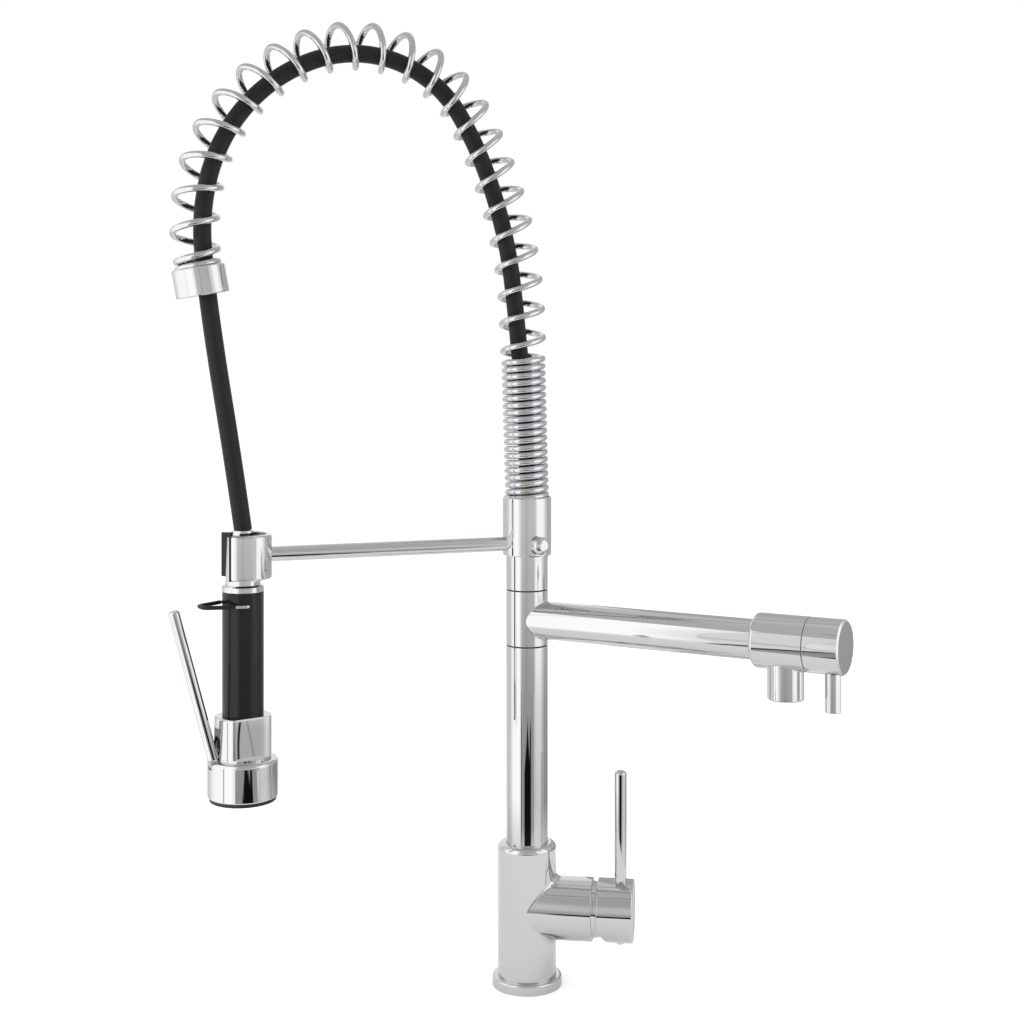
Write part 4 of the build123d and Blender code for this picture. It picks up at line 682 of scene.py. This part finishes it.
def coil_wire(per_turn=40):
    """Middle of the wire and its outward direction: by turns t, centre + radius * (normal cos p + Y sin p),
    p = start + 360 t, at a close pitch up to the start ramp and then an open one that the hanging end draws
    out. One more close turn at each end lies in the hub's seat and in the collar's."""
    total = CLOSED_TURNS + START_RAMP + OPEN_TURNS + END_RAMP + END_TURNS
    seat_rise = WIRE / 2 + SEAT_GAP
    turns = linspace(0, total, int(total * per_turn) + 1)
    middle = (turns[1:] + turns[:-1]) / 2
    step = turns[1] - turns[0]
    hidden = np.arange(1, per_turn + 1) / per_turn

    def openness(t):
        """0 in the closed stretch, 1 in the open one."""
        return np.clip(np.minimum((t - CLOSED_TURNS) / START_RAMP, (total - END_TURNS - t) / END_RAMP), 0, 1)

    wide = openness(middle)
    drawn = 1 + HANG_STRETCH * (2 * (middle - CLOSED_TURNS) / (total - CLOSED_TURNS) - 1)
    open_pitch = ((ARCH_LENGTH - 2 * seat_rise - ((1 - wide) * CLOSED_PITCH * step).sum())
                  / (wide * drawn * step).sum())
    pitch = CLOSED_PITCH * (1 - wide) + open_pitch * wide * drawn
    distance = seat_rise + concatenate([[0], np.cumsum(pitch * step)])
    sunk = SEAT_PITCH * hidden
    turns = concatenate([-hidden[::-1], turns, total + hidden])
    distance = concatenate([distance[0] - sunk[::-1], distance, distance[-1] + sunk])
    radius = ((CLOSED_DIA + openness(turns) * (OPEN_DIA - CLOSED_DIA) - WIRE) / 2)[:, None]
    centre, _, normal = spring_line(distance)
    phase = (radians(START_PHASE) + 2 * np.pi * turns)[:, None]
    outward = normal * cos(phase) + SIDEWAYS * sin(phase)
    return centre + radius * outward, outward


finish(swept("coil_spring_wire", *coil_wire(), circle(WIRE / 2, 18)), "arm", "spring_steel", "coil_spring")

spring_end, spring_end_dir, _ = spring_line(np.array([ARCH_LENGTH]))
collar = Axis(spring_end[0], spring_end_dir[0], SIDEWAYS)
collar_high, collar_bevel = span("spring_collar", collar)[1], 0.6
turned_part("spring_collar_ring", "arm", "spring_collar", collar, [
    (COLLAR_SEAT_R, 0, 0.1), (COLLAR_R - collar_bevel, 0, 0.1), (COLLAR_R, collar_bevel, 0.2),
    (COLLAR_R, collar_high - collar_bevel, 0.2), (COLLAR_R - collar_bevel, collar_high, 0.1),
    (COLLAR_BORE_R, collar_high, 0.4), (COLLAR_BORE_R, COLLAR_SEAT, 0.1), (COLLAR_SEAT_R, COLLAR_SEAT, 0)],
    ring=True, steps=5, sides=160, sharp=30)

# ==== hose ends ====
connector_low, connector_high = span("hose_connector", column)
head_low = hub_top - SEAT_DEPTH + 0.6
turned_part("hose_connector_sleeve", "arm", "hose_connector", column, [
    (CONNECTOR_BORE_R, connector_low, 0), (CONNECTOR_R, connector_low, 0), (CONNECTOR_R, head_low, 0),
    (CONNECTOR_HEAD_R, head_low, 0.2), (CONNECTOR_HEAD_R, connector_high, 0.6),
    (CONNECTOR_BORE_R + 1, connector_high, 0.2), (CONNECTOR_BORE_R, connector_high - 2, 0)], slot="brass",
    ring=True, sides=72)

# ==== hand spray ====
neck_foot, ring_bevel = RING_LOW - 8, 1.0
turned_part("spray_neck_cone", "spray", "spray_neck", spray, [
    (NECK_BORE_R, neck_foot, 0), (NECK_STEM_R, neck_foot, 0), (NECK_STEM_R, RING_LOW, 0),
    (RING_R, RING_LOW, 0.4), (RING_R, RING_TOP - ring_bevel, 0.4), (RING_R - ring_bevel, RING_TOP, 0.3),
    (NECK_R, RING_TOP, 0.3), (NECK_R, NECK_STRAIGHT, 0.2), (NECK_TOP_R, NECK_TOP, 0.5),
    (NECK_BORE_R, NECK_TOP, 0)], ring=True, sharp=30)

ferrule_foot, ferrule_low, ferrule_top = NECK_TOP - 12, NECK_TOP + 0.3, NECK_TOP + 4.7
turned_part("hose_ferrule_sleeve", "arm", "hose_ferrule", spray, [
    (FERRULE_BORE_R, ferrule_foot, 0), (FERRULE_STEM_R, ferrule_foot, 0), (FERRULE_STEM_R, ferrule_low, 0),
    (FERRULE_R, ferrule_low, 0.4), (FERRULE_R, ferrule_top - 0.3, 0.5), (FERRULE_R - 0.8, ferrule_top, 0.1),
    (FERRULE_BORE_R, ferrule_top, 0)], ring=True, steps=5, sides=72)

grip_low, grip_high = span("spray_grip", spray)
turned_part("spray_grip_sleeve", "spray", "spray_grip", spray, [
    (GRIP_BORE_R, grip_low, 0), (GRIP_R, grip_low, 0.5), (GRIP_R, grip_high, 0.5),
    (GRIP_BORE_R, grip_high, 0)], slot="grip_plastic", ring=True)


def block_rows(levels):
    """Rows of the valve block, a cylinder with two flats: the circle's radius or the flat's, half width /
    |sin t|, whichever is less, blended by a high power. A level is (height, inset, whether it has flats)."""
    t = linspace(0, 2 * np.pi, 192, endpoint=False)
    height, inset, flats = np.array(levels, float).T[..., None]
    round_r = BLOCK_R - inset + 0 * t
    flat_r = np.where(flats > 0, (BLOCK_HALF - 0.4 * inset) / np.maximum(np.abs(sin(t)), 1e-6), 1e6)
    radius = (round_r ** -EDGE_POWER + flat_r ** -EDGE_POWER) ** (-1 / EDGE_POWER)
    level_dir = stack([cos(t), sin(t)], axis=1) @ spray_level
    return spray.origin + radius[..., None] * level_dir + height[..., None] * UP


flat_low = BELL_TOP + 1.8
top_levels = [(grip_low - BLOCK_ROUND * (1 - sin(q)), BLOCK_ROUND * (1 - cos(q)), 1)
              for q in radians(linspace(0, 90, 9))]
block = skin("valve_block_body", block_rows([
    (BELL_TOP, BLOCK_CORE_INSET, 0), (BELL_TOP, 0.1, 0), (BELL_TOP + 0.1, 0, 0), (flat_low - 0.2, 0, 0),
    (flat_low, 0.15, 0), (flat_low, 0, 1), *top_levels, (grip_low, BLOCK_CORE_INSET, 1)]))
plunger = Axis(spray.origin + UP * (BELL_TOP + 11), lever_dir, UP)
spray_axes, pocket_halves = (lever_dir, spray_side, UP), (10.0, 5.0, 11.0)
carve(block, box_block("pocket", plunger.origin + lever_dir * (BLOCK_R + 7), spray_axes, pocket_halves))
finish(block, "spray", "chrome", "valve_block", sharp=30)

plunger_in, plunger_out = span("valve_plunger", plunger)
turned_part("valve_plunger_pin", "plunger", "valve_plunger", plunger, [
    (PLUNGER_R, plunger_in, 0.3), (PLUNGER_R, plunger_out, 1.6)], slot="black_plastic", steps=8, sides=40)

back_axis = Axis(plunger.origin + UP * 3, -lever_dir, UP)
back_high, socket_depth = span("block_screw", back_axis)[1], 0.8
turned_part("block_screw_head", "spray", "block_screw", back_axis, [
    (BACK_SCREW_R, BLOCK_R - 3, 0), (BACK_SCREW_R, back_high, 0.6), (BACK_SOCKET_R, back_high, 0.1),
    (BACK_SOCKET_R, back_high - socket_depth, 0)], sides=48)

bell_bevel = 0.8
bell = lathe("spray_bell_shell", spray, [
    (BELL_BORE_R, BELL_LOW, 0.2), (BELL_R - bell_bevel, BELL_LOW, 0.2), (BELL_R, BELL_LOW + bell_bevel, 0.3),
    (BELL_R, BELL_TOP, 3.0), (BELL_NECK_R, BELL_TOP, 0), (BELL_NECK_R, BELL_SHELF, 0),
    (BELL_BORE_R, BELL_SHELF, 0)], ring=True, steps=10, sides=160)
slots = (SLOT_WALL, SLOT_FOOT, SLOT_SILL + 1), (BELL_R + 5, SLOT_SILL, BELL_TOP + 4)
carve(bell, *(box_block("slot", spray.origin + lever_dir * (SLOT_INNER + out) / 2 + UP * (low + high) / 2,
                        spray_axes, ((out - SLOT_INNER) / 2, SLOT_HALF, (high - low) / 2))
              for out, low, high in slots))
finish(bell, "spray", "chrome", "spray_bell", sharp=30)

turned_part("spray_bumper_ring", "spray", "spray_bumper", spray, [
    (BUMPER_BORE_R, BUMPER_LOW, 0.4), (BUMPER_R, BUMPER_LOW, 0.8), (BUMPER_R, BELL_LOW, 0),
    (BUMPER_NECK_R, BELL_LOW, 0), (BUMPER_NECK_R, BELL_LOW + 2, 0), (BUMPER_BORE_R, BELL_LOW + 2, 0)],
    slot="black_rubber", ring=True)

TIP_RINGS = ((5.0, 6), (9.0, 12), (13.5, 18))  # radius and number of holes
TIP_LINE = ((0.85, 158.5), (0.85, 157.0), (0.75, 155.9), (0.45, 155.9), (0.4, 158.5))  # radius and height


def nozzle_tips(sides=10):
    """Soft tips: one short tapered tube, repeated at three rings of holes."""
    holes = concatenate([circle(radius, count) for radius, count in TIP_RINGS])
    line = np.array(TIP_LINE)
    one = line[:, None, :1] * heading(np.arange(sides) * 360 / sides) + line[:, None, 1:] * UP
    centre = spray.origin + holes @ spray_level
    points = (centre[:, None, None] + one).reshape(-1, 3)
    quads = quads_over(np.arange(len(line) * sides).reshape(len(line), sides))
    faces = (quads + len(line) * sides * np.arange(len(holes))[:, None, None]).reshape(-1, 4)
    return mesh_piece("spray_nozzle_tips", points, faces.tolist())


finish(nozzle_tips(), "spray", "black_rubber")

# ==== trigger lever ====
tilt, lever_bevel = radians(LEVER_TILT), 0.8
lever_axis = Axis(joint_at("trigger_squeeze"), lever_dir * sin(tilt) + UP * cos(tilt), spray_side)
lever_start, lever_end = span("trigger_lever", lever_axis)
turned_part("trigger_lever_bar", "trigger", "trigger_lever", lever_axis, [
    (LEVER_R, lever_start, 0.4), (LEVER_R, lever_end - lever_bevel, 0.2),
    (LEVER_R - lever_bevel, lever_end, 0.2)], sides=64, sharp=30)

# ==== lock bail: plated wire with a dipped black coat on its loop ====
# corners of its level path: (towards the lever, aside, radius)
BAIL_CORNERS = [(2.5, -11.2, 0), (2.5, -16.8, 1.9), (30.1, -5.0, 4.0), (30.1, 5.0, 4.0), (2.5, 16.8, 1.9),
                (2.5, 11.2, 0)]
bail_path = spray.origin + rounded(BAIL_CORNERS, steps=12) @ spray_level + joint_at("bail_flip") * UP


def bail_stretch(bare, count):
    """Even points of the bail's path, less a bare distance at each end."""
    walked = walked_along(bail_path)
    spots = linspace(bare, walked[-1] - bare, count)
    return stack([interp(spots, walked, bail_path[:, i]) for i in range(3)], axis=1)


wire_piece = swept("lock_bail_wire", bail_stretch(0, 160), UP, circle(BAIL_R - BAIL_COAT, 20))
coat_piece = swept("lock_bail_coat", bail_stretch(13.0, 130), UP, circle(BAIL_R, 20))
finish(wire_piece, "bail", "chrome", "lock_bail")
finish(coat_piece, "bail", "black_plastic", "lock_bail")

# ==== what the chrome reflects: glowing cards that only reflections see ====
SIDE_WALL, FRONT_WALL, LIGHT_TOP, CEILING = 480.0, 1000.0, 740.0, 1500.0
TABLE_EDGE, GAP_START, CARD_LIFT, WALL_STEPS, CEILING_STEPS = 330, 342, 0.5, 130, 90
LEFT, FRONT, RIGHT = (-135, -35), (-35, 42), (42, 172)
SIDE_ROWS = (0, 70, 84, 100, 150, 168, 176, 190, 200, 226, 234, LIGHT_TOP, LIGHT_TOP + 1, CEILING)
FRONT_ROWS = (0, 100, 230, 420, 560, 700, 1000, CEILING)
FRONT_TABLE_ROWS = (TABLE_EDGE, 335, GAP_START, 400, 600, 625, 650, 700, 740, 770, 800, 870, FRONT_WALL)
STAND_LEGS = ((-31.4, 0.9, 800), (-5, 1.6, 640), (18, 2.8, 770))  # angle, half width, reach
LEFT_BEAM, RIGHT_BEAM = (380, 395, 470, 485), (770, 785, 840, 855)

studio_glow = bpy.data.materials.new("studio_glow")
studio_glow.use_nodes = True
glow_tree = studio_glow.node_tree
glow_tree.nodes.remove(glow_tree.nodes["Principled BSDF"])
corner_glow = add(glow_tree, "ShaderNodeAttribute", {"attribute_name": "glow"})
emission = add(glow_tree, "ShaderNodeEmission", Color=(1.0, 1.0, 1.0, 1.0), Strength=corner_glow.outputs["Fac"])
glow_tree.links.new(emission.outputs["Emission"], glow_tree.nodes["Material Output"].inputs["Surface"])


def card(name, rows, strength):
    """Card over a grid of rows, with its brightness carried by its corners."""
    piece = skin(name, rows, solid=False)
    glow = piece.data.attributes.new("glow", "FLOAT", "POINT")
    glow.data.foreach_set("value", np.broadcast_to(strength, rows.shape[:2]).ravel())
    piece.data.materials.append(studio_glow)
    piece.visible_camera = piece.visible_diffuse = piece.visible_shadow = False
    piece.visible_transmission = piece.visible_volume_scatter = False


def light_plan(turn):
    """Brightness at an angle to the right of the camera's side: broad soft lights left and right, a duller
    room behind the camera and to the far right, and white behind the object."""
    return interp(turn, [-180, -130, -104, -84, -44, -27, -12, 20, 38, 50, 78, 96, 112, 145, 172],
                  [1.0, 0.78, 0.86, 1.42, 1.52, 0.85, 0.72, 0.76, 0.8, 1.42, 1.45, 0.95, 0.62, 0.56, 0.5])


def bent_card(name, turn, out, height, strength):
    """Card round the column: out * heading(angle) + height * up."""
    card(name, out[..., None] * heading(turn - 110) + height[..., None] * UP, strength)


def wall(name, angles, out, height, shade):
    """Upright card with rows of heights, or a flat one with rows of distances out. shade gives its brightness
    from the light plan's level, the angle and the rows."""
    turn = linspace(*angles, WALL_STEPS)[None]
    out, height = (np.array(value, float).reshape(-1, 1) for value in (out, height))
    rows = height if len(height) > 1 else out
    bent_card(name, turn, out, height, shade(light_plan(turn), turn, rows))


def side_shade(plan, turn, height):
    """Side lights end at their top, with a duller room above. The right one is dimmer towards its foot and
    has a dim patch that the knob's end sees, and the left one's two frames meet in a line, darkest low."""
    foot = np.where(turn > 0, interp(height, [0, 100, 150, 200], [0.6, 0.72, 0.9, 1.0]), 1.0)
    seam = interp(height, [70, 84, 150, 190], [1.0, 0.4, 0.4, 0.86])
    line = interp(np.abs(turn + 60), [0.8, 1.8], [1.0, 0.0])
    patch = (interp(turn, [96, 99, 110, 113], [0, 1, 1, 0])
             * interp(height, [168, 176, 226, 234], [0, 1, 1, 0]))
    return np.where(height > LIGHT_TOP, 0.62, plan * foot * (1 - line * (1 - seam)) * (1 - 0.4 * patch))


def front_shade(plan, turn, height):
    """Behind the camera the room is darkest low down and dull again high up, with one thin upright line."""
    line = interp(np.abs(turn + 2), [1.0, 2.2], [0.75, 1.0])
    return plan * line * interp(height, [0, 230, 420, 700, CEILING], [0.62, 1.0, 1.0, 0.72, 0.7])


def front_table_shade(plan, turn, distance):
    """In front of the camera the table ends at a black gap that narrows away from it, and past it the grey
    floor shows between the dark legs of a stand."""
    half_gap = interp(distance, [600, 720, 860], [17.5, 7.0, 0.0])
    gap = (interp(np.abs(turn - 2.5) - half_gap, [-2, 1], [1, 0])
           * interp(distance, [335, GAP_START, 800, 860], [0, 1, 1, 0]))
    for at, half, reach in STAND_LEGS:
        leg = interp(np.abs(turn - at), [half, half + 1.2], [1, 0])
        gap = np.maximum(gap, leg * interp(distance, [335, GAP_START, reach, reach + 100], [0, 1, 1, 0]))
    room = interp(distance, [TABLE_EDGE, 400, 640, FRONT_WALL], [0.8, 0.42, 0.4, 0.45])
    side = interp(turn, [-35, -33.5, 34, 42], [1, 0, 0, 1])
    return (room * (1 - side) + plan * side) * (1 - 0.98 * gap)


def side_table_shade(plan, turn, distance):
    """The table takes up the side lights towards their feet, and is dimmer beside the object."""
    far = plan * np.where(turn > 0, 0.6, 0.98)
    near = interp(turn, [-135, -100, -75, 60, 85, 145], [0.6, 0.66, 1.0, 1.0, 0.85, 0.6])
    return near + interp(distance, [TABLE_EDGE, SIDE_WALL], [0.0, 1.0]) * (far - near)


def facet_card():
    """Small grey card that only the spray's flat sees, with a bowed dark line and a fainter slanting one."""
    toward, across = 150 * heading(-55), heading(35)
    middle_height, half_height = 163, 19
    a, b = np.meshgrid(linspace(-20, 20, 120), linspace(-1, 1, 24))
    rows = spray.origin + toward + a[..., None] * across + (middle_height + half_height * b[..., None]) * UP
    shade = interp(a, [-20, -11, -7, 9, 12, 14, 20], [0.5, 0.55, 0.6, 0.6, 0.66, 0.95, 0.95])
    bowed = interp(np.abs(a + 6.8 - 1.2 * (b + 0.35) ** 2), [0.7, 1.1], [0.03, 1.0])
    slanting = interp(np.abs(a - 2.4 + 3.8 * b), [0.3, 1.1], [0.66, 1.0])
    card("facet_card", rows, shade * bowed * slanting * interp(b, [0.4, 1], [1.0, 1.3]))


def cap_card():
    """Dim strip of the table behind the handle, which only the cap's end face sees."""
    cap_foot, away, across = np.array((75.0, -40.0, CARD_LIFT)), heading(58.9), heading(-31.1)
    b, a = np.meshgrid(linspace(70, 260, 12), linspace(-40, 40, 12), indexing="ij")
    card("cap_card", cap_foot + b[..., None] * away + a[..., None] * across, 0.62)


for side, angles in (("left", LEFT), ("right", RIGHT)):
    wall(side + "_light", angles, SIDE_WALL, SIDE_ROWS, side_shade)
    wall(side + "_table", angles, (TABLE_EDGE, 400, SIDE_WALL), CARD_LIFT, side_table_shade)
wall("room_front", FRONT, FRONT_WALL, FRONT_ROWS, front_shade)
wall("table_front", FRONT, FRONT_TABLE_ROWS, CARD_LIFT, front_table_shade)
all_round = linspace(-180, 180, CEILING_STEPS)[None]
out = np.array([1.0, *LEFT_BEAM, *RIGHT_BEAM, CEILING])[:, None]
beams = np.where(np.abs(all_round) < 90, interp(out, RIGHT_BEAM, [1, 0.5, 0.5, 1]),
                 interp(out, LEFT_BEAM, [1, 0.62, 0.62, 1]))
bent_card("ceiling", all_round, out, np.full((1, 1), CEILING),
          beams * interp(np.abs(all_round), [0, 90, 180], [0.58, 0.64, 0.74]))
facet_card()
cap_card()

# ==== floor, backdrop and lamps ====
FLOOR_HALF, FLOOR_LIFT = 9000.0, 0.32
floor = mesh_piece("studio_floor", FLOOR_HALF * np.array([(-1, -1, 0), (1, -1, 0), (1, 1, 0), (-1, 1, 0)]),
                   [(0, 1, 2, 3)])
floor_finish, floor_shader = surface("matt_white_board", FLOOR_WHITE, 0.0, 0.9, specular=0.1)
floor_tree = floor_finish.node_tree
seen = add(floor_tree, "ShaderNodeLightPath").outputs["Is Camera Ray"]
lift = add(floor_tree, "ShaderNodeMath", {"operation": "MULTIPLY"}, _0=seen, _1=FLOOR_LIFT)
floor_tree.links.new(lift.outputs[0], floor_shader.inputs["Emission Strength"])
floor_shader.inputs["Emission Color"].default_value = (1.0, 1.0, 1.0, 1.0)
floor.data.materials.append(floor_finish)

# white for the camera, reflections and what is seen through, a little lower as light on the object
world = bpy.data.worlds.new("studio")
scene.world = world
world.use_nodes = True
sky_tree = world.node_tree
sky = sky_tree.nodes["Background"]
rays = add(sky_tree, "ShaderNodeLightPath").outputs
seen = rays["Is Camera Ray"]
for ray in ("Is Glossy Ray", "Is Transmission Ray"):
    seen = add(sky_tree, "ShaderNodeMath", {"operation": "MAXIMUM"}, _0=seen, _1=rays[ray]).outputs[0]
backdrop = add(sky_tree, "ShaderNodeMapRange", Value=seen, _3=0.8, _4=1.0)
sky_tree.links.new(backdrop.outputs["Result"], sky.inputs["Strength"])
sky.inputs["Color"].default_value = (1.0, 1.0, 1.0, 1.0)

# square lamps that reflections don't see: place, aim and width in metres, power in watts
for name, place, aim, size, power in (("overhead", (0.0, 0.0, 1.7), (0.0, 0.0, 0.0), 1.4, 5.0),
                                      ("left_key", (-1.1, -0.9, 1.2), (-0.1, 0.0, 0.3), 0.9, 4.0),
                                      ("right_fill", (1.0, -0.9, 0.9), (0.0, 0.0, 0.3), 0.9, 2.5)):
    light = bpy.data.lights.new(name, "AREA")
    light.shape, light.size, light.energy = "SQUARE", size, power
    lamp = placed(name, light)
    lamp.location = place
    lamp.rotation_euler = (Vector(aim) - Vector(place)).to_track_quat("-Z", "Y").to_euler()
    lamp.visible_camera = lamp.visible_glossy = False
